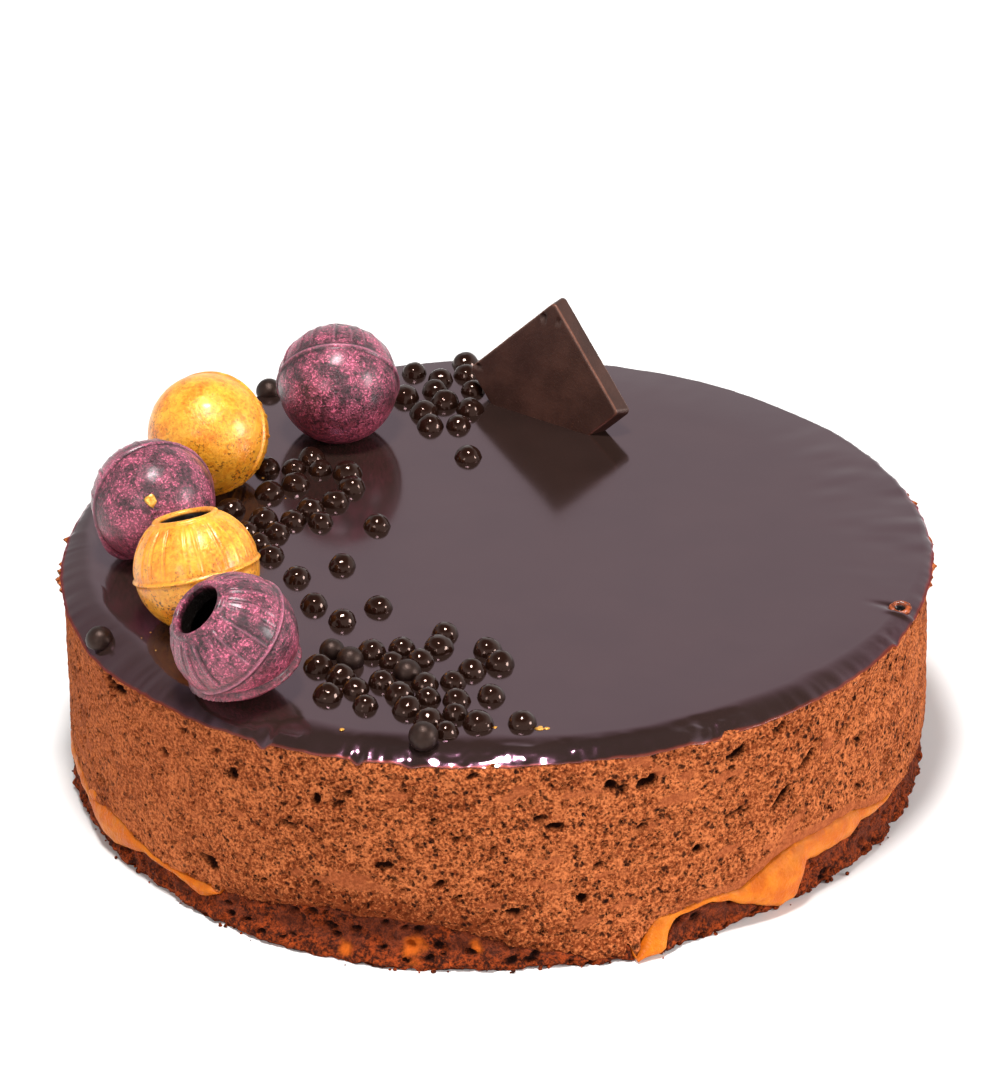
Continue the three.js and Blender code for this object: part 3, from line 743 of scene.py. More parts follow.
def glaze_rim(angle):
    """Height and radius of the glaze's lower edge, and the radius where it starts to fall. Each runs straight
    between its points, averaged over a few degrees, and is uneven. The edge drops by a hump at each run, and
    both radii grow by what the cake is out of round."""
    rim = turned(MOUSSE_RADIUS, angle, 0.0)
    places, *edges = np.array(GLAZE_RIM).T
    near = degrees_from(angle) + np.array(RIM_BLEND)[:, None]
    hem, out, flat = (np.interp(near, places, edge, period=360).mean(axis=0) for edge in edges)
    hem = hem + rough(rim, RIM_HEM_WAVES) - humps(angle, GLAZE_RUNS)
    reach = (out - flat) * (1 + rough(rim, RIM_REACH_WAVES))
    out = out + rough(rim, RIM_OUT_WAVES) + humps(angle, OUT_OF_ROUND)
    teeth = np.maximum(rough(rim, TEETH), TEETH_LOWEST) * humps(angle, TORN_EDGE, FULL)
    return hem, out + teeth, out - reach


def leaning(angle, height, wide, tall, lean, seed):
    """An uneven field from -1 to 1 on the wall, with lumps of that width and height that lean by so many
    millimetres round for each one up. Their number round the cake is a multiple of the lattice's cells, so
    that it closes."""
    count = LATTICE * max(round(2 * np.pi * MOUSSE_RADIUS / wide / LATTICE), 1)
    turns = (angle - lean * height / MOUSSE_RADIUS) * count / (2 * np.pi)
    return lumps(np.stack(np.broadcast_arrays(turns, height / tall, 0.5), axis=-1), 1.0, seed)


def torn_pits(angle, height):
    """Depth in millimetres of the torn pits: inside a turned ellipse with a frayed edge, the pit's depth
    times the square root of one less the squared share of the way from its middle to its edge."""
    fray = 1 + rough(turned(MOUSSE_RADIUS, angle, height), PIT_FRAY)
    deepest = np.zeros(height.shape)
    for at, middle, half_length, half_width, turn, depth in MOUSSE_PITS:
        across = distance_round(angle, at, MOUSSE_RADIUS)
        along = across * math.cos(math.radians(turn)) + (height - middle) * math.sin(math.radians(turn))
        aside = (height - middle) * math.cos(math.radians(turn)) - across * math.sin(math.radians(turn))
        way = ((along / half_length) ** 2 + (aside / half_width) ** 2) * fray
        deepest = np.maximum(deepest, depth * np.sqrt(np.clip(1 - way, 0, 1)))
    return deepest


def bubbles(place, size, fray):
    """Distance to the nearest of many scattered points about the given size apart, in units of that size.
    The place is first shifted by noise, by the fray's share of the size, so outlines are uneven."""
    noise = {"Vector": place, "Scale": 1.5 / size, "Detail": 1.0}
    shift = place.node("ShaderNodeTexNoise", {}, noise, output="Color")
    moved = {0: shift, 1: (fray * size,) * 3, 2: place}
    shifted = place.node("ShaderNodeVectorMath", {"operation": "MULTIPLY_ADD"}, moved)
    return place.node("ShaderNodeTexVoronoi", {}, {"Vector": shifted, "Scale": 1 / size}, output="Distance")


angle = ring_angles(MOUSSE_COLUMNS)
hem = mousse_hem(angle)
lip_hem, lip_out, _ = glaze_rim(angle)
wall_top = lip_hem + MOUSSE_TUCK
wall_height = hem + (wall_top - hem) * np.linspace(0, 1, MOUSSE_WALL_ROWS)[:, None]
wall_place = turned(MOUSSE_RADIUS, angle, wall_height)
above_hem = wall_height - hem
under_lip = lip_hem - wall_height
no_caramel = 1 - caramel_edges(angle)[0]

dragged = humps(angle, DRAGGED_STRIP, DRAGGED_FULL)
dragged = dragged * smooth(above_hem, DRAGGED_HEIGHT, 0.5 * DRAGGED_HEIGHT)
wiped = humps(angle, WIPED_WALL, FULL) * (0.6 + 0.5 * leaning(angle, wall_height, *WIPED_STREAKS))
lenses = leaning(angle, wall_height, *SMEAR_LENSES) + rough(wall_place, SMEAR_FRAY)
smeared = np.maximum(np.maximum(dragged, wiped), SMEAR_SHARE * smooth(lenses, *SMEAR_EDGE))
broad = leaning(angle, wall_height, *BROAD_SHADE)
narrow = leaning(angle, wall_height, *NARROW_SHADE)
darkened = (DARK_ALL_ROUND + humps(angle, DARK_HEM)) * no_caramel * smooth(above_hem, DARK_HEIGHT, 0)
shade = 0.55 * broad + 0.45 * narrow - DARK_DEPTH * darkened

open_share = 1 - SMEAR_CLOSES * smeared
small = SMALL_PORE_DEPTH * pores(angle, wall_height, *SMALL_PORES)
large = LARGE_PORE_DEPTH * pores(angle, wall_height, *LARGE_PORES)
wall_depth = np.maximum(torn_pits(angle, wall_height), np.maximum(small, large) * open_share)
frayed = humps(angle, FRAYED_RIM, FULL) * smooth(under_lip, *FRAY_BELOW_LIP)
frayed = frayed * smooth(under_lip, *FRAY_BEHIND_LIP)
fray = np.clip(rough(wall_place, FRAY_WAVES) - FRAY_GAPS, 0, 1) * frayed
wall_radius = MOUSSE_RADIUS + humps(angle, OUT_OF_ROUND) + rough(wall_place, WALL_BULGES)
wall_radius = wall_radius + rough(wall_place, WALL_GRAINS) * open_share
wall_radius = wall_radius - HEM_DRAWN_IN * smooth(above_hem, HEM_DRAWN_TO, 0) * no_caramel
wall_radius = wall_radius + np.clip(foot_flare(angle, wall_height), 0, None)
lip_limit = lip_out - LIP_CLEARANCE
swell = np.clip(lip_limit - wall_radius, 0, LIP_SWELL) * smooth(under_lip, *LIP_SWELL_FROM)
lip_limit = lip_limit + np.where(under_lip > 0, *LIP_SLOPES) * under_lip
wall_radius = np.minimum(wall_radius + swell - wall_depth, lip_limit) + fray
mousse_grid = turned_layer(
    angle,
    (LAYER_CORE_RADIUS, CARAMEL_TOP),
    (LAYER_MIDDLE_RADIUS, CARAMEL_TOP),
    (MOUSSE_RADIUS - MOUSSE_SKIRT, hem + SKIRT_RISE),
    (wall_radius[0] - HEM_FOLD_IN, hem - HEM_FOLD_DOWN),
    (wall_radius, wall_height),
    (wall_radius[-1] - 0.5 * MOUSSE_ROUNDING, wall_top + MOUSSE_CROWN),
    (MOUSSE_RADIUS - 3 * MOUSSE_ROUNDING, wall_top),
    (LAYER_MIDDLE_RADIUS, MOUSSE_TOP),
    (LAYER_CORE_RADIUS, MOUSSE_TOP),
)

mousse_finish, place = begin_finish("porous_mousse", Roughness=0.9, Specular_IOR_Level=0.05)
clouds = grain(place, MOUSSE_CLOUD_SIZE)
fine = grain(place, MOUSSE_FINE_GRAIN, roughness=0.65)
smear = mark(place, "smear")
shaded = mark(place, "shade")
open_cells = 1 - smear * SMEAR_CLOSES
pinholes = bubbles(place, PINHOLE_SPACING, 0.7).ramp(0.36, 0.12) * open_cells
pockets = bubbles(place, POCKET_SPACING, 0.8).ramp(0.46, 0.2)
pockets = pockets * grain(place, POCKET_PATCH_SIZE).ramp(0.44, 0.56) * open_cells
# Partly painted light: the fine grain that raises the relief also lightens the ridges and darkens the
# hollows, over the mousse's own uneven tone
tone_and_ridge_light = fine + clouds * 0.16 + shaded * 0.1
tint = tone_and_ridge_light.ramp(0.43, 0.75).mix(colour(*MOUSSE_DEEP_AND_HOLLOW_SHADE), colour(*MOUSSE_PALE_AND_RIDGE_LIT))
tint = (smear * 0.75).mix(tint, colour(*MOUSSE_SMEAR))
# Painted shade: the open bubbles are darkened
tint = (pinholes * 0.62 + pockets * 0.8).ramp(0.0, 1.0).mix(tint, colour(*MOUSSE_PORE_SHADE))
# Painted shade: darker the deeper a torn pit or bubble goes, and on the frayed bits under the lip
tint = mark(place, "pit").ramp(0.25, 0.95).mix(tint, colour(*MOUSSE_PORE_SHADE))
bumps = 1.4 * fine * open_cells - pinholes - pockets
end_finish(mousse_finish, Base_Color=tint, Normal=relief(bumps, MOUSSE_BUMP))

flat_rows = ((4, 4), (0, 0))
# Where the shader paints shade: the depth of the pits and bubbles, and the frayed bits under the glaze's lip
pit = np.clip(wall_depth / LARGE_PORE_DEPTH + 0.5 * np.clip(fray, 0, 1), 0, 1)
mousse = add_piece(
    "porous_mousse_round",
    mousse_grid,
    mousse_finish,
    pit=np.pad(pit, flat_rows),
    smear=np.pad(smeared, flat_rows),
    shade=np.pad(shade, flat_rows),
)
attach(mousse, "root")
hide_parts("mousse_body")

# Mirror glaze
# A dark chocolate glaze poured over the mousse while warm. It levelled itself into a mirror, sank a
# little towards the rim, wrinkled there where it met the cold edge, and ends in an uneven thin lip.
GLAZE_TOP = 48.0
GLAZE_COLUMNS = 1000
GLAZE_LIP_ROWS = 40
GLAZE_TOP_ROWS = 50
GLAZE_TOP_CROWDING = 1.7
GLAZE_INNER_RADIUS = 6.0
GLAZE_DARK = (36, 25, 21)
GLAZE_CLOUDY = (40, 28, 24)
GLAZE_THIN = (122, 52, 30)
# Painted shade for the inside of the burst bubble's hole
GLAZE_HOLE_SHADE = (8, 4, 3)
GLAZE_SHEEN = (1.0, 0.41, 0.71, 1.0)
GLAZE_CLOUD_SIZE = 22.0
GLAZE_DUST_SIZE = 0.5
GLAZE_DIMPLE_SIZE = 9.0
GLAZE_BUMP = 0.02
# How its underside turns in from its edge: in, up. Further in, it lies just above the mousse
GLAZE_UNDERSIDE = [(3.2, 0.7), (1.2, 0.35), (0.3, -0.06)]
GLAZE_BED = MOUSSE_TOP + 0.1
# Radial wrinkles near the rim: middle and half width in degrees, height
GLAZE_WRINKLES = [(14, 36, 0.28), (-176, 34, 0.03), (80, 40, 0.12)]
WRINKLES_ROUND = 128
WRINKLE_LENGTH = 9.0
WRINKLE_SEED = 55
WRINKLES_FROM = (68, 85)
# Stretch of the lip with a clear shine: middle and half width in degrees, share, and tilts where it starts
GLAZE_LIP_SHINE = [(-84, 54, 1.0)]
LIP_SHINE_TILTS = (math.radians(12), math.radians(24))
# Stretches of the lip that set crinkled: middle and half width in degrees, how much
GLAZE_CRINKLES = [(-90, 27, 1.0), (-60, 6, 2.0), (-26, 7, 0.6)]
CRINKLE_WAVES = [(0.34, 6.5, 56), (0.17, 2.8, 64), (0.08, 1.2, 65)]
CRINKLE_ALL_ROUND = 0.04
CRINKLES_FROM = (80, 84)
CRINKLES_DOWN_LIP = (0.1, 0.5)
GLAZE_SWELL = [(0.025, 34.0, 57)]
# How far it has sunk at the rim: all round, and more at the left, with middle and half width in degrees. In
# front, where the rim itself falls, it has not
GLAZE_SAG = 0.45
GLAZE_LEFT_SAG = [(-172, 60, 1.0)]
GLAZE_NO_SAG = [(-91, 75, 1.0)]
SAG_START = 73.0
SAG_MOST = 1.2
# A bubble that burst at the rim: angle in degrees, radius from the axis, half width of the pit, its depth
GLAZE_BUBBLE = (-18.6, 87.2, 1.7, 1.5)
BUBBLE_STRETCH = 1.35
BUBBLE_ASIDE = 0.5
BUBBLE_FRAY = [(0.12, 0.9, 58)]
# Shares of its half width where its wall ends, its thin skin sets in and the painted shade of its hole sets
# in
BUBBLE_WALL = 0.5
BUBBLE_SKIN = (1.1, 0.9)
BUBBLE_HOLE = (0.8, 0.5)
# A trough that leads to it, with the radii where it starts and how far before the bubble it ends
TROUGH_WIDTH = 1.0
TROUGH_DEPTH = 0.3
TROUGH_FROM = (79, 85)
TROUGH_END = 1.5
# A ridge beside it, with its distance round from it and the radii where it starts
RIDGE_ASIDE = -2.4
RIDGE_WIDTH = 0.8
RIDGE_HEIGHT = 0.4
RIDGE_FROM = (83.5, 87)
# Height of the thin, brown edge, and how much more for each millimetre of the teeth
THIN_EDGE = 0.5
THIN_TEETH = 1.5
THIN_SHARE = 0.9


def glaze_sag(angle, radius):
    """How far the glaze has sunk: the square of the share of the way from where it starts to the rim, times
    the sag there. In front the rim's own fall takes its place."""
    share = np.clip((radius - SAG_START) / (MOUSSE_RADIUS - SAG_START), 0, SAG_MOST)
    return share**2 * (GLAZE_SAG + humps(angle, GLAZE_LEFT_SAG)) * (1 - humps(angle, GLAZE_NO_SAG))


def lip_slope(angle):
    """What the fall at the rim is made of: the height and radius where it starts, how far it falls and
    reaches out, and the steepest tilt, at its lower edge, of an arc with that fall and reach."""
    hem, out, flat = glaze_rim(angle)
    start = GLAZE_TOP - glaze_sag(angle, flat)
    steepest = np.minimum(2 * np.arctan((start - hem) / (out - flat)), np.pi / 2)
    return start, flat, start - hem, out - flat, steepest


def glaze_level(angle, radius):
    """Height of the glaze: its top less the sag, and at the rim an arc. The arc's tilt grows from 0 so that
    its sine follows the radius, and it falls by one less the cosine, over that at the steepest tilt."""
    start, flat, fall, reach, steepest = lip_slope(angle)
    tilt = np.arcsin(np.clip((radius - flat) / reach, 0, 1) * np.sin(steepest))
    on_top = GLAZE_TOP - glaze_sag(angle, radius)
    return np.where(radius < flat, on_top, start - fall * (1 - np.cos(tilt)) / (1 - np.cos(steepest)))


def bell(value, width):
    """1 at zero, falling off as the exponential of minus the squared share of the width."""
    return np.exp(-((value / width) ** 2))


angle = ring_angles(GLAZE_COLUMNS)
lip_hem, lip_out, flat_out = glaze_rim(angle)
steepest = lip_slope(angle)[-1]
tilt = np.linspace(1, 0, GLAZE_LIP_ROWS)[:, None] * steepest
lip_radius = flat_out + (lip_out - flat_out) * np.sin(tilt) / np.sin(steepest)
inward = np.linspace(0, 1, GLAZE_TOP_ROWS)[1:, None] ** GLAZE_TOP_CROWDING
top_radius = flat_out + (GLAZE_INNER_RADIUS - flat_out) * inward
upper_radius = np.concatenate([lip_radius, top_radius])
upper_height = glaze_level(angle, upper_radius)
upper_place = turned(upper_radius, angle, upper_height)

wrinkle_turns = angle * WRINKLES_ROUND / (2 * np.pi)
wrinkle_place = np.stack(np.broadcast_arrays(wrinkle_turns, upper_radius / WRINKLE_LENGTH, 0.5), axis=-1)
wrinkled = humps(angle, GLAZE_WRINKLES) * smooth(upper_radius, *WRINKLES_FROM)
upper_height = upper_height + wrinkled * lumps(wrinkle_place, 1.0, WRINKLE_SEED)
down_lip = (upper_radius - flat_out) / (lip_out - flat_out)
crinkled = humps(angle, GLAZE_CRINKLES, FULL) * smooth(down_lip, *CRINKLES_DOWN_LIP)
crinkled = CRINKLE_ALL_ROUND + (1 - CRINKLE_ALL_ROUND) * crinkled
crinkled = crinkled * smooth(upper_radius, *CRINKLES_FROM)
upper_height = upper_height + crinkled * rough(upper_place, CRINKLE_WAVES) + rough(upper_place, GLAZE_SWELL)

bubble_at, bubble_out, bubble_half, bubble_depth = GLAZE_BUBBLE
around = distance_round(angle, bubble_at, bubble_out)
burst = np.hypot((upper_radius - bubble_out) / BUBBLE_STRETCH, around + BUBBLE_ASIDE)
burst = (burst + rough(upper_place, BUBBLE_FRAY)) / bubble_half
upper_height = upper_height - bubble_depth * smooth(burst, 1, BUBBLE_WALL)
trough = bell(around, TROUGH_WIDTH) * smooth(upper_radius, *TROUGH_FROM)
trough = trough * smooth(upper_radius, bubble_out, bubble_out - TROUGH_END)
ridge = bell(around - RIDGE_ASIDE, RIDGE_WIDTH) * smooth(upper_radius, *RIDGE_FROM)
upper_height = upper_height - TROUGH_DEPTH * trough + RIDGE_HEIGHT * ridge
glaze_grid = turned_layer(
    angle,
    (LAYER_CORE_RADIUS, GLAZE_BED),
    (LAYER_MIDDLE_RADIUS, GLAZE_BED),
    *[(lip_out - back, lip_hem + lift) for back, lift in GLAZE_UNDERSIDE],
    (upper_radius, upper_height),
)

glaze_finish, place = begin_finish(
    "mirror_glaze_coat", IOR=1.62, Specular_Tint=GLAZE_SHEEN, Coat_IOR=1.5, Coat_Roughness=0.06
)
lip = mark(place, "lip")
thin = mark(place, "thin")
hole = mark(place, "hole")
clouds = grain(place, GLAZE_CLOUD_SIZE, detail=2)
dust = grain(place, GLAZE_DUST_SIZE, detail=2).ramp(0.72, 0.8)
tint = clouds.ramp(0.3, 0.7).mix(colour(*GLAZE_DARK), colour(*GLAZE_CLOUDY))
tint = thin.mix(tint, colour(*GLAZE_THIN))
# Painted shade: the burst bubble's hole is darkened
tint = hole.mix(tint, colour(*GLAZE_HOLE_SHADE))
end_finish(
    glaze_finish,
    Base_Color=tint,
    Roughness=0.12 + 0.03 * clouds.ramp(0.45, 0.75) + 0.1 * dust + 0.4 * thin + 0.4 * hole,
    Metallic=0.9 * thin,
    Coat_Weight=lip * (1 - hole),
    Normal=relief(grain(place, GLAZE_DIMPLE_SIZE, detail=1), GLAZE_BUMP),
)

at_edge = smooth(upper_height - lip_hem, THIN_EDGE + THIN_TEETH * humps(angle, TORN_EDGE), 0)
thin_mark = THIN_SHARE * np.maximum(at_edge, smooth(burst, *BUBBLE_SKIN))
lip_mark = smooth(tilt, *LIP_SHINE_TILTS) * humps(angle, GLAZE_LIP_SHINE, FULL)
lip_mark = np.pad(lip_mark, ((0, len(top_radius)), (0, 0)))
under_rows = ((2 + len(GLAZE_UNDERSIDE), 0), (0, 0))
glaze = add_piece(
    "poured_mirror_glaze",
    glaze_grid,
    glaze_finish,
    thin=np.pad(thin_mark, under_rows, mode="edge"),
    hole=np.pad(smooth(burst, *BUBBLE_HOLE), under_rows, mode="edge"),
    lip=np.pad(lip_mark, under_rows, mode="edge"),
)
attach(glaze, "root")
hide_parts("mirror_glaze")

# Bubble rim
# The skin of the burst bubble, drawn back into a raised ring round its hole, which is painted dark as shade.
# It is thin, so that the brown of the mousse shows through.
RING_OUTER = 1.75
RING_HOLE = 0.8
RING_HEIGHT = 0.45
RING_DEPTH = 0.9
RING_TIP = 0.42
RING_COLUMNS = 48
RING_BOW_ROWS = 14
RING_WALL_ROWS = 6
# How far its outer edge is sunk and the whole ring is set below the glaze, and how its wall narrows downwards
RING_SUNK = 0.12
RING_SET = 0.1
RING_NARROWS = 0.5
# Its closing row underneath: share of the outer radius, and how far below the foot of its wall
RING_UNDER_SHARE = 0.3
RING_UNDER = 0.3
# Unevenness in the three directions: height, spacing, seeds
RING_FRAY = 0.1
RING_FRAY_SPACING = 0.9
RING_FRAY_SEEDS = (66, 67, 68)
# Shares of the hole's radius between which painted shade darkens it, on the rows past its outer slope
RING_DARK = (1.15, 0.9)
RING_LIGHT_ROWS = 6
FILM_DARK = (84, 36, 20)
FILM_LIGHT = (158, 76, 38)
FILM_STREAK_SIZE = 0.8
FILM_BUMP = 0.1

bow = np.linspace(0, np.pi, RING_BOW_ROWS)[:, None]
down = np.linspace(0, 1, RING_WALL_ROWS)[1:, None]
reach = np.concatenate([
    [[RING_UNDER_SHARE * RING_OUTER]],
    RING_OUTER + (RING_HOLE - RING_OUTER) * (1 - np.cos(bow)) / 2,
    RING_HOLE * (1 - RING_NARROWS * down),
])
rise = np.concatenate([
    [[-RING_DEPTH - RING_UNDER]],
    RING_HEIGHT * np.sin(bow) - RING_SUNK,
    -RING_DEPTH * down,
])
ring_along, ring_aside, ring_rise = np.moveaxis(turned(reach, ring_angles(RING_COLUMNS), rise), -1, 0)
ring_out = bubble_out + BUBBLE_STRETCH * ring_along
bubble_turn = math.radians(bubble_at)
bubble_level = glaze_level(np.array([bubble_turn]), bubble_out)[0] - RING_SET
ring_grid = np.stack([
    ring_out * math.cos(bubble_turn) - ring_aside * math.sin(bubble_turn),
    ring_out * math.sin(bubble_turn) + ring_aside * math.cos(bubble_turn),
    bubble_level + ring_rise + RING_TIP * ring_aside,
], axis=-1)
ring_fray = np.stack([lumps(ring_grid, RING_FRAY_SPACING, seed) for seed in RING_FRAY_SEEDS], axis=-1)
inner_rows = (np.arange(len(reach)) >= RING_LIGHT_ROWS)[:, None]
ring_hole_shade = smooth(reach / RING_HOLE, *RING_DARK) * inner_rows

film_finish, place = begin_finish("thin_glaze_film", Roughness=0.28, Specular_IOR_Level=0.3)
streaks = grain(place, FILM_STREAK_SIZE)
tint = streaks.ramp(0.35, 0.65).mix(colour(*FILM_DARK), colour(*FILM_LIGHT))
# Painted shade inside the ring's hole
tint = mark(place, "hole").mix(tint, colour(*GLAZE_HOLE_SHADE))
end_finish(film_finish, Base_Color=tint, Normal=relief(streaks, FILM_BUMP))
bubble_rim = add_piece("bubble_rim", (ring_grid + RING_FRAY * ring_fray)[None], film_finish, hole=ring_hole_shade)
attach(bubble_rim, "root")

# Crisp pearls
# Crunchy cereal balls panned in dark chocolate, strewn on the glaze before it set. Most have sunk half
# way, and the glaze has crept up and coats them. A few stayed on top and are dry and dull.
PEARL_ROWS = 18
PEARL_COLUMNS = 28
PEARL_GLAZED = (30, 15, 10)
PEARL_DRY = (28, 15, 11)
PEARL_DULL = (18, 9, 7)
PEARL_SHEEN = (1.0, 0.68, 0.58, 1.0)
PEARL_DULL_SIZE = 0.9
PEARL_DIMPLE_SIZE = 1.6
PEARL_BUMP = 0.1
PEARL_FOOT = 0.15
PEARL_LOWEST = -0.97
CREEP_HEIGHT = 0.3
CREEP_WIDTH = 0.1
CREEP_WAVES = [(0.3, 2.4, 62)]
FILM_WAVES = [(0.05, 2.2, 61), (0.02, 1.1, 69)]
# How much less of the glaze's film and creep a dry pearl has
DRY_LESS = 0.75
# How high a sunk pearl's middle lies above the glaze, as a share of its radius
SUNK_LIFT = -0.06
# One at the rim has settled back from where it would roll off: its place on the solid, and how far
RIM_PEARL = (-79.4, -38.0)
RIM_PEARL_SHIFT = (-0.4, 3.4)
RIM_PEARL_NEAR = 3.0
# Those that stayed dry on top, as places near their middles
DRY_PEARLS = [(-37.0, -77.0), (-16.9, -81.5), (-31.0, -47.0), (-17.7, -52.0), (-47.8, 74.8), (-79.8, -34.6)]
DRY_NEAR = 3.5
# How pearls are found on the solid: height over the glaze, distance within which a top is the highest point,
# a difference in height that is none, and the least drop from a top that its radius is worked out from
FIND_ABOVE = 0.2
FIND_WITHIN = 2.0
FIND_LEVEL = 1e-4
FIND_DROP = 0.05


def pearls_in_frame():
    """Places, radii and lifts of the pearls on the glaze's solid. A pearl's top is a point with none higher
    near it. From a point h away and d below a top, the radius is (h h + d d) / (2 d), averaged over the
    points near the top, and the lift is how high the middle lies over the glaze."""
    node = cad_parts["mirror_glaze"].data
    points = np.empty(3 * len(node.vertices), np.float32)
    node.vertices.foreach_get("co", points)
    points = np.unique((points.reshape(-1, 3) / MM).round(3), axis=0)
    points = points[points[:, 2] > GLAZE_TOP + FIND_ABOVE]
    away = np.linalg.norm(points[:, None, :2] - points[None, :, :2], axis=-1)
    below = points[:, None, 2] - points[None, :, 2]
    tops = np.where(((away < FIND_WITHIN) & (below < -FIND_LEVEL)).sum(axis=1) == 0)[0]
    away, below = away[tops], below[tops]
    near = (away < FIND_WITHIN) & (below > FIND_DROP)
    radii = (away**2 + below**2) / (2 * np.maximum(below, FIND_DROP))
    radii = (radii * near).sum(axis=1) / near.sum(axis=1)
    return points[tops, :2], radii, points[tops, 2] - radii - GLAZE_TOP


pearl_place, pearl_radius, pearl_lift = pearls_in_frame()
at_rim = np.hypot(*(pearl_place - RIM_PEARL).T) < RIM_PEARL_NEAR
pearl_place = pearl_place + at_rim[:, None] * np.array(RIM_PEARL_SHIFT)
dry = np.linalg.norm(pearl_place[:, None] - np.array(DRY_PEARLS), axis=-1).min(axis=1) < DRY_NEAR
pearl_lift = np.where(dry, pearl_lift, np.minimum(pearl_lift, SUNK_LIFT * pearl_radius))
coated = (1 - DRY_LESS * dry)[:, None, None]
lowest = np.arccos(np.clip((-PEARL_FOOT - pearl_lift) / pearl_radius, PEARL_LOWEST, 1))
polar = (lowest[:, None] * np.linspace(1, 0, PEARL_ROWS + 1)[:-1])[..., None]
turn = ring_angles(PEARL_COLUMNS)
ball_radius = pearl_radius[:, None, None]
rise = pearl_lift[:, None, None] + ball_radius * np.cos(polar)
ball = turned(ball_radius * np.sin(polar), turn, rise)
pearl_level = glaze_level(np.arctan2(pearl_place[:, 1], pearl_place[:, 0]), np.hypot(*pearl_place.T))
pearl_middle = np.concatenate([pearl_place, pearl_level[:, None]], axis=1)[:, None, None]
ball = ball * (1 + (coated * rough(ball + pearl_middle, FILM_WAVES))[..., None])
creep = CREEP_WIDTH * coated * np.exp(-np.maximum(rise, 0) / CREEP_HEIGHT)
creep = creep * (1 + rough(ball + pearl_middle, CREEP_WAVES))
pearl_grids = pearl_middle + ball + turned(creep, turn, 0.0)

pearl_finish, place = begin_finish("chocolate_pearl", IOR=1.44, Specular_Tint=PEARL_SHEEN)
is_dry = mark(place, "dry")
dull = grain(place, PEARL_DULL_SIZE, detail=4)
tint = is_dry.mix(colour(*PEARL_GLAZED), dull.ramp(0.3, 0.7).mix(colour(*PEARL_DULL), colour(*PEARL_DRY)))
end_finish(
    pearl_finish,
    Base_Color=tint,
    Roughness=0.09 + 0.36 * is_dry,
    Normal=relief(grain(place, PEARL_DIMPLE_SIZE, detail=2), PEARL_BUMP),
)
pearls = add_piece("crisp_pearls", pearl_grids, pearl_finish, dry=dry[:, None, None])
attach(pearls, "root")
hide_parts("mirror_glaze")

# Truffle shells
# Hollow chocolate balls moulded in two halves, with a raised seam, fine ribs on the half with the filling
# hole and a rolled lip round it. They are dusted with purple or gold lustre and stand in the soft glaze.
TRUFFLE_RADIUS = 12.75
TRUFFLE_WALL = 3.9
TRUFFLE_CENTRE = GLAZE_TOP + 11.8
TRUFFLE_FOOT = GLAZE_TOP - 0.5
TRUFFLE_COLUMNS = 360
TRUFFLE_OUTER_ROWS = 130
LIP_ROWS = 16
THROAT_ROWS = 16
INSIDE_ROWS = 14
# Angles that are left open at the outer and the inner pole, which the fans close
OUTER_POLE = 0.03
INNER_POLE = 0.1
HOLE_RADIUS = 5.4
LIP_WIDTH = 1.5
LIP_HEIGHT = 0.7
SEAM_HEIGHT = 0.48
SEAM_WIDTH = 0.36
# Ribs: number, height, width, how far they stray from even places, range of strengths, seed, and the angles
# from the lip and from the seam over which they fade in
RIBS = 20
RIB_HEIGHT = 0.28
RIB_WIDTH = 0.3
RIB_STRAY = 0.2
RIB_STRENGTH = (0.4, 1.0)
RIB_SEED = 73
RIBS_FROM_LIP = (0.02, 0.16)
RIBS_FROM_SEAM = (0.04, 0.16)
# The crease beside a rib, and the width of the dark creases and of the painted shade beside the seam.
# Painted highlights on the seam and rib tops are narrower than what they lie on
CREASE_AWAY = 0.52
CREASE_DEPTH = 0.22
LINE_WIDTH = 0.26
SEAM_SHADE_SHARE = 0.9
CREST_HIGHLIGHT_WIDTH = 0.7
RIB_HIGHLIGHT_SHARE = 0.6
# A moulding flange: axis of its parallel, angle from that axis, height, width, and a groove above it with
# its distance, depth and width
FLANGE_AXIS = (-0.24, -0.1, 0.965)
FLANGE_POLAR = math.radians(122)
FLANGE_HEIGHT = 1.15
FLANGE_WIDTH = 0.34
FLANGE_GROOVE = (0.75, 0.45, 0.4)
FLASH_HEIGHT = 1.1
FLASH_HALF = 0.33
WORN_WAVES = [(0.1, 6.0, 71), (0.035, 1.3, 72)]
THROAT_FADE = 0.2
# Painted shade down the throat of the hole and over the inner wall
THROAT_SHADE = 0.4
# Any direction that no shell's axis has, to turn the ribs from
RIB_START = (0.3, 0.9, 0.2)
# Each: name, lustre, x, y, axis through the hole, how deep the lustre goes into it, share of a moulding
# flange that is left at its foot, and share and direction of a bit of flash left on the seam
TRUFFLES = [
    ("purple_back", "purple", -32.4, 53.5, (0, 0.917, 0.4), 0.8, 0, 0, (0, 0, -1)),
    ("gold_back", "gold", -59.3, 30.7, (0.37, 0.78, -0.5), 0.1, 0, 0, (0, 0, -1)),
    ("purple_left", "purple", -69.7, 0.3, (-0.37, 0.925, -0.064), 0.8, 0, 1, (-0.58, -0.37, -0.72)),
    ("gold_front", "gold", -59.9, -30.1, (-0.19, 0.28, 0.935), 0.1, 0, 0, (0, 0, -1)),
    ("purple_front", "purple", -51.4, -59.3, (-0.65, -0.26, 0.716), 0.8, 1, 0, (0, 0, -1)),
]
LIP_POLAR = math.asin((HOLE_RADIUS + LIP_WIDTH) / TRUFFLE_RADIUS)
LIP_BASE = TRUFFLE_RADIUS * math.cos(LIP_POLAR)


def unit(direction):
    """A direction, or rows of them, at length 1."""
    direction = np.array(direction, float)
    return direction / np.linalg.norm(direction, axis=-1, keepdims=True)


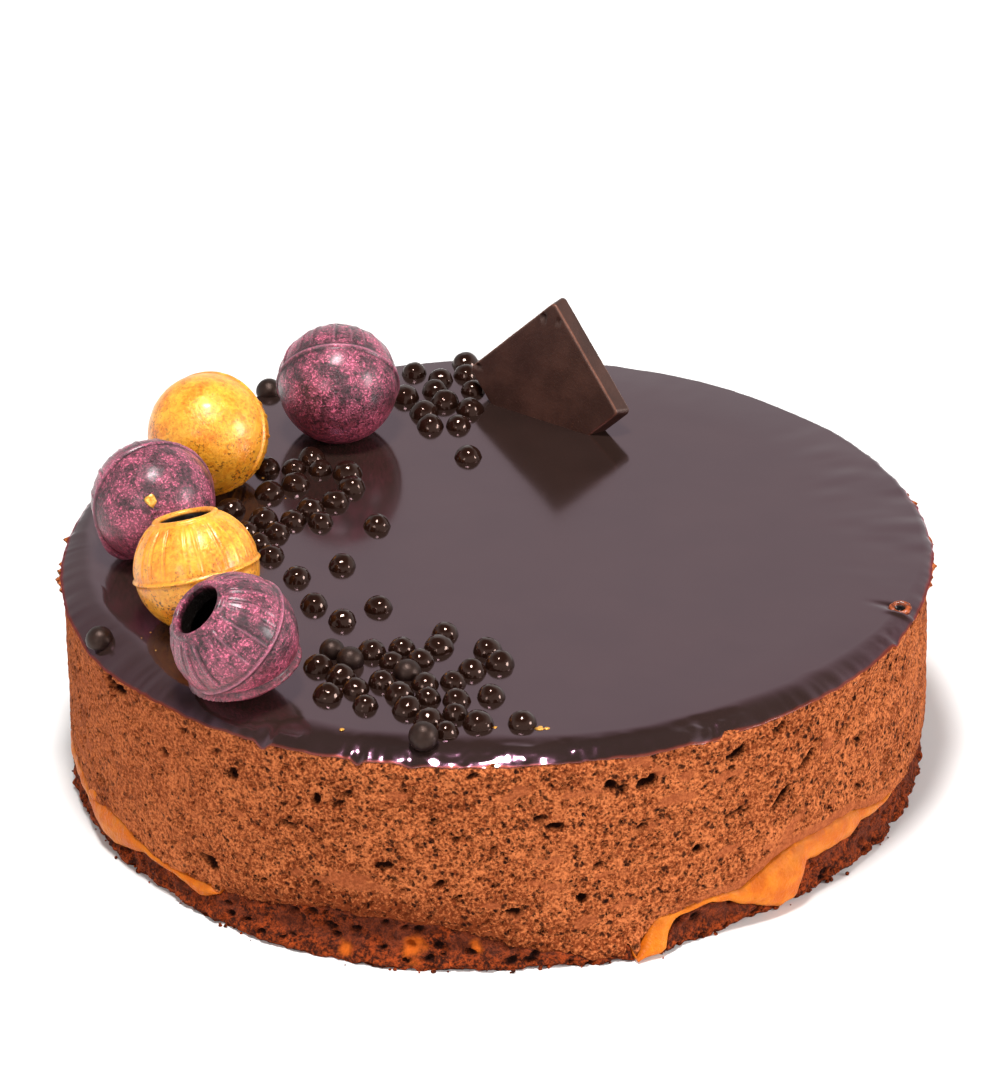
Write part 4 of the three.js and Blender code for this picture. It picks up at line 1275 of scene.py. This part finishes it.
def turn_from(turn, start):
    """Angle from a start, from minus half a turn up to half a turn."""
    return (turn - start + np.pi) % (2 * np.pi) - np.pi


def shell_relief(axes, turn, polar, flange, flash, flash_at):
    """Outer radius of a shell, where it is painted with shade and where with highlights. The radius is the
    ball's plus the seam, a bell across the equator that is higher at the flash, plus ribs, bells along uneven
    meridians of the half with the hole, each with a crease beside it, plus the flange, a bell across a
    parallel round an axis of its own with a groove above it. Painted shade goes in the creases, the groove
    and along both sides of the seam; painted highlights go on the tops of the seam and the ribs."""
    from_seam = (polar - np.pi / 2) * TRUFFLE_RADIUS
    from_flash = turn_from(turn, math.atan2(*(axes @ flash_at)[1::-1]))
    seam_height = SEAM_HEIGHT + flash * FLASH_HEIGHT * bell(from_flash, FLASH_HALF)

    draw = np.random.default_rng(RIB_SEED)
    rib_turns = (np.arange(RIBS) + draw.uniform(-RIB_STRAY, RIB_STRAY, RIBS)) * 2 * np.pi / RIBS
    apart = turn_from(turn, rib_turns[:, None])
    nearest = np.abs(apart).argmin(axis=0)
    rib_away = apart[nearest, np.arange(TRUFFLE_COLUMNS)] * TRUFFLE_RADIUS * np.sin(polar)
    ribbed = draw.uniform(*RIB_STRENGTH, RIBS)[nearest]
    ribbed = ribbed * smooth(polar - LIP_POLAR, *RIBS_FROM_LIP) * smooth(np.pi / 2 - polar, *RIBS_FROM_SEAM)
    crease = ribbed * bell(rib_away - CREASE_AWAY, LINE_WIDTH)

    groove_away, groove_depth, groove_width = FLANGE_GROOVE
    along_flange_axis = turned(np.sin(polar), turn, np.cos(polar)) @ (axes @ unit(FLANGE_AXIS))
    below = (np.arccos(np.clip(along_flange_axis, -1, 1)) - FLANGE_POLAR) * TRUFFLE_RADIUS
    groove = flange * bell(below + groove_away, groove_width)

    outer = TRUFFLE_RADIUS + seam_height * bell(from_seam, SEAM_WIDTH)
    outer = outer + RIB_HEIGHT * ribbed * bell(rib_away, RIB_WIDTH) - CREASE_DEPTH * crease
    outer = outer + flange * FLANGE_HEIGHT * bell(below, FLANGE_WIDTH) - groove_depth * groove
    # Painted shade beside the seam, in the creases and in the groove; painted highlight on the seam and rib
    # tops
    seam_side_shade = SEAM_SHADE_SHARE * bell(np.abs(from_seam) - 2 * SEAM_WIDTH, LINE_WIDTH)
    lines = np.maximum(np.maximum(crease, seam_side_shade), groove)
    rib_crests = RIB_HIGHLIGHT_SHARE * ribbed * bell(rib_away, CREST_HIGHLIGHT_WIDTH * RIB_WIDTH)
    return outer, lines, np.maximum(bell(from_seam, CREST_HIGHLIGHT_WIDTH * SEAM_WIDTH), rib_crests)


def truffle_grid(x, y, axis, dusted, flange, flash, flash_at):
    """A shell turned round the axis of its hole: the outer wall from the pole away from the hole to the lip,
    half a circle over the lip, straight down the throat and round the inner wall. It is flat at its foot.
    Also gives where it is bare, from the depth that the lustre reaches, and where it is painted with shade
    and with highlights."""
    along = unit(axis)
    side = unit(np.cross(along, RIB_START))
    axes = np.stack([side, np.cross(along, side), along])
    turn = ring_angles(TRUFFLE_COLUMNS)
    polar = np.linspace(np.pi - OUTER_POLE, LIP_POLAR, TRUFFLE_OUTER_ROWS)[:, None]
    outer, lines, crests = shell_relief(axes, turn, polar, flange, flash, flash_at)
    roll = np.linspace(0, np.pi, LIP_ROWS)[1:, None]
    inner_radius = TRUFFLE_RADIUS - TRUFFLE_WALL
    mouth_polar = math.asin(HOLE_RADIUS / inner_radius)
    throat = np.linspace(LIP_BASE, inner_radius * math.cos(mouth_polar), THROAT_ROWS)[1:-1, None]
    inside = np.linspace(mouth_polar, np.pi - INNER_POLE, INSIDE_ROWS)[:, None]
    straight = turned_layer(
        turn,
        (outer * np.sin(polar), outer * np.cos(polar)),
        (HOLE_RADIUS + LIP_WIDTH * (1 + np.cos(roll)) / 2, LIP_BASE + LIP_HEIGHT * np.sin(roll)),
        (HOLE_RADIUS, throat),
        (inner_radius * np.sin(inside), inner_radius * np.cos(inside)),
    )[0]
    outer_rows = len(polar) + len(roll)
    fade = smooth(LIP_BASE - throat[:, 0], dusted - THROAT_FADE, dusted + THROAT_FADE)
    bare = np.concatenate([np.zeros(outer_rows), fade, np.ones(len(inside))])[:, None]
    middle = np.array([x, y, TRUFFLE_CENTRE])
    grid = straight @ axes + middle
    worn = rough(grid, WORN_WAVES) * (1 - bare)
    grid = grid + (grid - middle) / TRUFFLE_RADIUS * worn[..., None]
    grid[..., 2] = np.maximum(grid[..., 2], TRUFFLE_FOOT)
    other_rows = ((0, len(straight) - len(polar)), (0, 0))
    lines = np.pad(lines, other_rows)
    # Painted shade all the way down the throat and round the inner wall
    lines[outer_rows:] = THROAT_SHADE
    return grid[None], bare[None], lines[None], np.pad(crests, other_rows)[None]


# Bare chocolate inside the hole, painted near black as the shade in it
BARE_CHOCOLATE_IN_SHADE = (12, 6, 4)
PURPLE_DARK = (62, 31, 39)
PURPLE_BRIGHT = (140, 66, 86)
PURPLE_FLAKE = (222, 106, 136)
PURPLE_GAP = (40, 21, 25)
# Colour of the painted fill light low on the ball
PURPLE_LOW_FILL_LIGHT = (196, 82, 98)
# Colour of the painted highlight on the seam and rib tops
PURPLE_CREST_HIGHLIGHT = (190, 116, 138)
# Colour of the painted shade in the creases, the groove, beside the seam and down the throat
PURPLE_SHADE_LINE = (38, 19, 24)
PURPLE_PATCH_SIZE = 4.4
PURPLE_DAB_SIZE = 0.9
PURPLE_FLAKE_SIZE = 0.45
PURPLE_GAP_SIZE = 0.7
PURPLE_BUMP = 0.2
# Heights between which painted fill light makes the lustre lighter and redder, low on the ball
PURPLE_FILL_LIGHT_FROM = (63.0, 51.0)

purple_finish, place = begin_finish(
    "purple_lustre", Metallic=0.1, Specular_IOR_Level=0.34, Coat_Weight=0.45, Coat_Roughness=0.28
)
patches = grain(place, PURPLE_PATCH_SIZE, detail=6, roughness=0.66)
dabs = grain(place, PURPLE_DAB_SIZE, detail=5, roughness=0.75)
flakes = grain(place, PURPLE_FLAKE_SIZE, detail=2)
gaps = grain(place, PURPLE_GAP_SIZE).ramp(0.55, 0.6) * patches.ramp(0.6, 0.46)
low_fill_light = level(place).ramp(*PURPLE_FILL_LIGHT_FROM) * dabs.ramp(0.36, 0.6)
tint = (patches * 0.55 + dabs * 0.45).ramp(0.41, 0.59).mix(colour(*PURPLE_DARK), colour(*PURPLE_BRIGHT))
tint = (flakes.ramp(0.55, 0.61) * patches.ramp(0.4, 0.58)).mix(tint, colour(*PURPLE_FLAKE))
tint = gaps.mix(tint, colour(*PURPLE_GAP))
# Painted fill light: lighter and redder low on the ball
tint = (low_fill_light * 0.5).mix(tint, colour(*PURPLE_LOW_FILL_LIGHT))
# Painted highlight on the seam and rib tops
tint = (mark(place, "crest") * 0.5).mix(tint, colour(*PURPLE_CREST_HIGHLIGHT))
# Painted shade in the creases, the groove, beside the seam and down the throat
tint = (mark(place, "line") * 0.9).mix(tint, colour(*PURPLE_SHADE_LINE))
# Bare chocolate inside the hole, with painted shade
tint = mark(place, "bare").mix(tint, colour(*BARE_CHOCOLATE_IN_SHADE))
end_finish(
    purple_finish,
    Base_Color=tint,
    Roughness=0.2 + 0.25 * dabs,
    Normal=relief(flakes + dabs, PURPLE_BUMP),
)

GOLD_DEEP = (212, 114, 12)
GOLD_BRIGHT = (254, 182, 50)
GOLD_SPECK = (70, 36, 12)
# Brown low on the ball: partly stains, partly painted shade
GOLD_LOW_STAIN_AND_SHADE = (168, 86, 14)
# Colour of the painted shade in the creases, the groove, beside the seam and down the throat
GOLD_SHADE_LINE = (178, 92, 12)
GOLD_CLOUD_SIZE = 4.5
GOLD_DAB_SIZE = 0.8
GOLD_SPECK_SIZE = 0.6
GOLD_SPECK_PATCH_SIZE = 3.0
GOLD_BUMP = 0.16
# Heights between which the lustre turns browner and more specked, low on the ball, partly from stains and
# partly as painted shade, and how far clouds shift them
GOLD_LOW_STAIN_AND_SHADE_FROM = (79.0, 60.0)
GOLD_LOW_STAIN_AND_SHADE_SHIFT = 14.0

gold_finish, place = begin_finish("gold_lustre", Metallic=0.12, IOR=1.5, Coat_Weight=0.32, Coat_Roughness=0.2)
clouds = grain(place, GOLD_CLOUD_SIZE, detail=5, roughness=0.65)
dabs = grain(place, GOLD_DAB_SIZE, detail=4, roughness=0.7)
worn = (level(place) + clouds * GOLD_LOW_STAIN_AND_SHADE_SHIFT).ramp(*GOLD_LOW_STAIN_AND_SHADE_FROM)
specks = grain(place, GOLD_SPECK_SIZE).ramp(0.53, 0.6) * grain(place, GOLD_SPECK_PATCH_SIZE).ramp(0.4, 0.56)
tint = (clouds * 0.6 + dabs * 0.4).ramp(0.34, 0.66).mix(colour(*GOLD_DEEP), colour(*GOLD_BRIGHT))
tint = (specks * (0.3 + 0.7 * worn)).mix(tint, colour(*GOLD_SPECK))
# Partly brown stains, partly painted shade: browner low on the ball
tint = (worn * clouds.ramp(0.48, 0.64) * 0.6).mix(tint, colour(*GOLD_LOW_STAIN_AND_SHADE))
# Painted shade in the creases, the groove, beside the seam and down the throat
tint = (mark(place, "line") * 0.5).mix(tint, colour(*GOLD_SHADE_LINE))
# Bare chocolate inside the hole, with painted shade
tint = mark(place, "bare").mix(tint, colour(*BARE_CHOCOLATE_IN_SHADE))
end_finish(
    gold_finish,
    Base_Color=tint,
    Roughness=0.24 + 0.2 * dabs,
    Normal=relief(clouds + dabs, GOLD_BUMP),
)

LUSTRES = {"purple": purple_finish, "gold": gold_finish}
for name, lustre, *form in TRUFFLES:
    grid, bare, lines, crests = truffle_grid(*form)
    shell = add_piece(f"{name}_shell", grid, LUSTRES[lustre], bare=bare, line=lines, crest=crests)
    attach(shell, "root")
    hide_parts(f"truffle_{name}")

# Chocolate tile
# A square of dark chocolate from a mould with sloping sides, so its front is a little smaller than its
# back. It was pushed corner down through the glaze, and its corners are scuffed and chipped.
TILE_BACK_SIDE = 28.9
TILE_FRONT_SIDE = 27.8
TILE_THICKNESS = 4.1
TILE_CORNER = 1.1
TILE_BEVEL = 0.55
TILE_CENTRE = (12.3, 61.7, 53.9)
TILE_LEFT_EDGE = (-0.657, 0.295, -0.694)
TILE_RIGHT_EDGE = (0.475, -0.553, -0.685)
TILE_COLUMNS = 320
TILE_FACE_ROWS = 24
TILE_SIDE_ROWS = 10
TILE_BEVEL_ROWS = 7
TILE_CORNER_POINTS = 12
# Shares of a face's half side that its rows of points go from and to
TILE_FACE_SHARES = (0.06, 0.97)
TILE_DARK = (44, 25, 20)
TILE_LIGHT = (58, 34, 27)
TILE_SCUFF = (126, 78, 60)
TILE_SHEEN = (1.0, 0.76, 0.68, 1.0)
TILE_BLOOM_SIZE = 7.0
TILE_SCRATCH_SIZE = 0.6
TILE_BUMP = 0.12
# Wear of its faces, and how much of it goes along the two edges and the face
TILE_WORN = [(0.06, 5.0, 81), (0.05, 1.4, 82)]
TILE_WORN_SHARES = (0.5, 0.5, 0.35)
# Chips and dents on the front: place along the two edges from the middle, radius, depth
TILE_CHIPS = [(-9.6, -12.6, 0.9, 0.7), (11.9, -13.0, 1.0, 0.5), (-12.4, -9.8, 0.8, 0.35)]
CHIP_FRAY = [(0.25, 0.6, 83)]
CHIP_WALL = (1.0, 0.4)


def rounded_square(half, columns):
    """Points spread evenly round a square of the given half side with quarter circles at its corners."""
    quarter = np.exp(1j * np.linspace(0, np.pi / 2, TILE_CORNER_POINTS)) * TILE_CORNER
    quarter = quarter + (half - TILE_CORNER) * (1 + 1j)
    outline = np.concatenate([quarter * 1j**side for side in range(4)] + [quarter[:1]])
    gone = np.concatenate([[0], np.cumsum(np.abs(np.diff(outline)))])
    even = np.linspace(0, gone[-1], columns, endpoint=False)
    return np.interp(even, gone, outline.real), np.interp(even, gone, outline.imag)


def tile_grid():
    """Rounded squares from the middle of the back, out over its bevel, along the sloping side and over the
    front bevel to the middle of the front, in the frame of the tile's two edges and its face. Also gives
    where its edges are scuffed: half a sine wave over each bevel."""
    bevel = np.linspace(0, np.pi / 2, TILE_BEVEL_ROWS)
    depth = TILE_THICKNESS / 2
    back, front = TILE_BACK_SIDE / 2, TILE_FRONT_SIDE / 2
    inward = np.linspace(*TILE_FACE_SHARES, TILE_FACE_ROWS)
    halves = np.concatenate([
        inward * (back - TILE_BEVEL),
        back - TILE_BEVEL + TILE_BEVEL * np.sin(bevel),
        np.linspace(back, front, TILE_SIDE_ROWS)[1:-1],
        front - TILE_BEVEL + TILE_BEVEL * np.cos(bevel),
        inward[::-1] * (front - TILE_BEVEL),
    ])
    levels = np.concatenate([
        np.full(TILE_FACE_ROWS, -depth),
        -depth + TILE_BEVEL * (1 - np.cos(bevel)),
        np.linspace(-depth + TILE_BEVEL, depth - TILE_BEVEL, TILE_SIDE_ROWS)[1:-1],
        depth - TILE_BEVEL + TILE_BEVEL * np.sin(bevel),
        np.full(TILE_FACE_ROWS, depth),
    ])
    across, down = rounded_square(back, TILE_COLUMNS)
    scale = (halves / back)[:, None]
    flat = np.stack(np.broadcast_arrays(scale * across, scale * down, levels[:, None]), axis=-1)
    flat = flat + rough(flat, TILE_WORN)[..., None] * np.array(TILE_WORN_SHARES)
    on_front = levels[:, None] > 0
    for chip_across, chip_down, radius, chip_depth in TILE_CHIPS:
        away = np.hypot(flat[..., 0] - chip_across, flat[..., 1] - chip_down) / radius
        flat[..., 2] -= chip_depth * smooth(away + rough(flat, CHIP_FRAY), *CHIP_WALL) * on_front
    beyond = np.abs(levels) - (depth - TILE_BEVEL)
    on_bevel = (halves > front - TILE_BEVEL) & (beyond > 0)
    edge = np.where(on_bevel, np.sin(np.clip(beyond / TILE_BEVEL, 0, 1) * np.pi), 0)
    left = unit(TILE_LEFT_EDGE)
    face = unit(np.cross(left, TILE_RIGHT_EDGE))
    return (flat @ np.stack([left, np.cross(face, left), face]) + TILE_CENTRE)[None], edge[None, :, None]


tile_points, tile_edge = tile_grid()
tile_finish, place = begin_finish("dark_chocolate_tile", IOR=1.5, Specular_Tint=TILE_SHEEN)
bloom = grain(place, TILE_BLOOM_SIZE, detail=5)
scratches = grain(place, TILE_SCRATCH_SIZE, roughness=0.75)
tint = bloom.ramp(0.35, 0.7).mix(colour(*TILE_DARK), colour(*TILE_LIGHT))
tint = (scratches.ramp(0.7, 0.8) * 0.6 + mark(place, "edge") * bloom).mix(tint, colour(*TILE_SCUFF))
end_finish(
    tile_finish,
    Base_Color=tint,
    Roughness=0.3 + 0.2 * bloom,
    Normal=relief(bloom + 0.4 * scratches, TILE_BUMP),
)
tile = add_piece("moulded_tile", tile_points, tile_finish, edge=tile_edge)
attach(tile, "root")
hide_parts("chocolate_tile")

# Gold flecks
# Lustre that has flaked off the gold shells onto the glaze round them, with a few larger bits of leaf.
FLECKS_AT_SHELL = 26
FLECK_RADIUS = (0.1, 0.3)
FLECK_THICKNESS = 0.12
FLECK_ROWS = 4
FLECK_COLUMNS = 12
FLECK_LIFT = 0.02
FLECK_LIMIT = 83.0
FLECK_SHAPE = [(0.7, 0.7, 92)]
FLECK_SEED = 91
# Distance from a shell's middle where they start, how much further they reach, and a power that crowds them
FLECK_START = 9.5
FLECK_REACH = 9.0
FLECK_CROWDING = 1.6
# Any direction that no fleck faces, to turn them from
FLECK_TURN = (0.6, 0.64, 0.48)
FLECK_DEEP = (214, 140, 48)
FLECK_BRIGHT = (252, 196, 96)
FLECK_SHIMMER_SIZE = 0.5
# Single flecks: place, radius, direction that the flat side faces
SINGLE_FLECKS = [
    ((-9.4, -77.4, 48.03), 0.55, (0, 0, 1)),
    ((0.0, -76.6, 48.03), 0.4, (0, 0, 1)),
    ((8.9, -77.0, 48.03), 0.8, (0, 0, 1)),
    ((10.2, -77.3, 48.03), 0.5, (0, 0, 1)),
    ((-30.2, -76.5, 48.03), 0.45, (0, 0, 1)),
    ((-69.7, -11.1, 65.8), 1.2, (0, -0.887, 0.462)),
]

draw = np.random.default_rng(FLECK_SEED)
fleck_middles, fleck_sizes, fleck_faces = [], [], []
for name, lustre, x, y, *_ in TRUFFLES:
    if lustre == "gold":
        away = FLECK_START + FLECK_REACH * draw.random(FLECKS_AT_SHELL) ** FLECK_CROWDING
        fleck_place = turned(away, draw.uniform(0, 2 * np.pi, FLECKS_AT_SHELL), 0.0) + (x, y, 0)
        fleck_out = np.hypot(fleck_place[:, 0], fleck_place[:, 1])
        fleck_turn = np.arctan2(fleck_place[:, 1], fleck_place[:, 0])
        fleck_place[:, 2] = glaze_level(fleck_turn, fleck_out) + FLECK_LIFT
        fleck_middles.extend(fleck_place)
        fleck_sizes.extend(draw.uniform(*FLECK_RADIUS, FLECKS_AT_SHELL))
        fleck_faces.extend([(0, 0, 1)] * FLECKS_AT_SHELL)
for fleck_place, size, face in SINGLE_FLECKS:
    fleck_middles.append(fleck_place)
    fleck_sizes.append(size)
    fleck_faces.append(face)
on_cake = np.hypot(*np.array(fleck_middles).T[:2]) < FLECK_LIMIT
fleck_middle, fleck_size, fleck_face = (
    np.array(values, float)[on_cake] for values in (fleck_middles, fleck_sizes, fleck_faces)
)
fleck_grids = balls(np.zeros(fleck_middle.shape), fleck_size, FLECK_ROWS, FLECK_COLUMNS)
ragged = 1 + rough(fleck_grids + fleck_middle[:, None, None], FLECK_SHAPE)
thin_share = np.broadcast_to((FLECK_THICKNESS / fleck_size)[:, None, None], ragged.shape)
fleck_grids = fleck_grids * np.stack([ragged, ragged, thin_share], axis=-1)
flat_side = unit(np.cross(fleck_face, FLECK_TURN))
axes = np.stack([flat_side, np.cross(fleck_face, flat_side), fleck_face], axis=1)
fleck_grids = np.einsum("nrci,nij->nrcj", fleck_grids, axes) + fleck_middle[:, None, None]

fleck_finish, place = begin_finish("gold_fleck", Metallic=0.6, IOR=1.5)
shimmer = grain(place, FLECK_SHIMMER_SIZE, detail=2)
end_finish(
    fleck_finish,
    Base_Color=shimmer.ramp(0.3, 0.7).mix(colour(*FLECK_DEEP), colour(*FLECK_BRIGHT)),
    Roughness=0.25 + 0.2 * shimmer,
)
flecks = add_piece("gold_flecks", fleck_grids, fleck_finish)
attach(flecks, "root")

# Studio
# A pale floor, a white surround up to a little above the horizon with a dark flag at the back left, and
# three soft lights: overhead, right and front left. The camera looks down on the cake as in the photograph.
FLOOR_HALF = 6.0
FLOOR_PALE = (228, 226, 224)
FLOOR_PALER = (232, 231, 230)
FLOOR_CLOUD_SIZE = 60.0
SURROUND = 0.92
CEILING = 0.1
SURROUND_TOP = math.radians(32)
CEILING_START = math.radians(60)
# The flag: how much it dims, how its edge leans, and the directions across and back where it starts and ends
FLAG_DIMS = 0.45
FLAG_LEAN = 0.14
FLAG_ACROSS = (0.0, -0.16)
FLAG_BACK = (0.1, 0.4)
# Each: name, direction from the cake, distance, diameter, brightness
SOFT_LIGHTS = [
    ("overhead", (-0.06, -0.19, 1.0), 1.05, 0.22, 121.0),
    ("right", (0.9, -0.33, 0.33), 1.3, 0.42, 25.0),
    ("front_left", (-0.456, -0.828, 0.42), 1.3, 0.36, 7.2),
]
LIGHTS_AIM = (0, 0, 40 * MM)
IMAGE_WIDTH = 1000
CAMERA_DISTANCE = 1500 * MM
CAMERA_ELEVATION = math.radians(27.51)
CAMERA_TARGET = (1.53 * MM, 0.0, 50.15 * MM)
CAMERA_FOCAL_PIXELS = 7266.6
CAMERA_ROLL = math.radians(-0.78)
CAMERA_SEES_TO = 50.0
SENSOR_WIDTH = 36.0

floor_corners = np.array([(-1, -1, 0), (1, -1, 0), (1, 1, 0), (-1, 1, 0)]) * FLOOR_HALF
floor_mesh = bpy.data.meshes.new("pale_floor")
floor_mesh.from_pydata(floor_corners.tolist(), [], [(0, 1, 2, 3)])
floor_finish, place = begin_finish("pale_floor", Roughness=0.7)
clean = grain(place, FLOOR_CLOUD_SIZE, detail=2)
end_finish(floor_finish, Base_Color=clean.mix(colour(*FLOOR_PALE), colour(*FLOOR_PALER)))
floor_mesh.materials.append(floor_finish)
floor = bpy.data.objects.new("pale_floor", floor_mesh)
bpy.context.scene.collection.objects.link(floor)

surround = bpy.data.worlds.new("surround")
surround.use_nodes = True
bpy.context.scene.world = surround
background = surround.node_tree.nodes["Background"]
background.inputs["Color"].default_value = (1, 1, 1, 1)
sky = Field(surround.node_tree, surround.node_tree.nodes.new("ShaderNodeTexCoord").outputs["Generated"])
right, behind, upward = (sky.node("ShaderNodeSeparateXYZ", {}, {0: sky}, output=axis) for axis in "XYZ")
white = upward.ramp(math.sin(CEILING_START), math.sin(SURROUND_TOP))
flag = (right + FLAG_LEAN * behind).ramp(*FLAG_ACROSS) * behind.ramp(*FLAG_BACK)
strength = CEILING + (SURROUND - CEILING) * white * (1 - FLAG_DIMS * flag)
surround.node_tree.links.new(strength.socket, background.inputs["Strength"])

# The power of a disc that shines evenly is pi times its brightness times its area
for name, direction, distance, diameter, brightness in SOFT_LIGHTS:
    light = bpy.data.lights.new(name, "AREA")
    light.shape = "DISK"
    light.size = diameter
    light.energy = brightness * math.pi * math.pi * diameter**2 / 4
    lamp = bpy.data.objects.new(name, light)
    lamp.location = unit(direction) * distance + LIGHTS_AIM
    lamp.rotation_euler = Vector(unit(direction)).to_track_quat("Z", "Y").to_euler()
    bpy.context.scene.collection.objects.link(lamp)

camera_data = bpy.data.cameras.new("camera")
camera_data.sensor_fit = "HORIZONTAL"
camera_data.sensor_width = SENSOR_WIDTH
camera_data.lens = CAMERA_FOCAL_PIXELS * SENSOR_WIDTH / IMAGE_WIDTH
camera_data.clip_end = CAMERA_SEES_TO
camera = bpy.data.objects.new("camera", camera_data)
away = np.array([0, -math.cos(CAMERA_ELEVATION), math.sin(CAMERA_ELEVATION)])
camera.location = CAMERA_TARGET + CAMERA_DISTANCE * away
tip = Matrix.Rotation(math.pi / 2 - CAMERA_ELEVATION, 4, "X")
camera.rotation_euler = (tip @ Matrix.Rotation(CAMERA_ROLL, 4, "Z")).to_euler()
bpy.context.scene.collection.objects.link(camera)
bpy.context.scene.camera = camera
bpy.context.scene.view_settings.view_transform = "Standard"
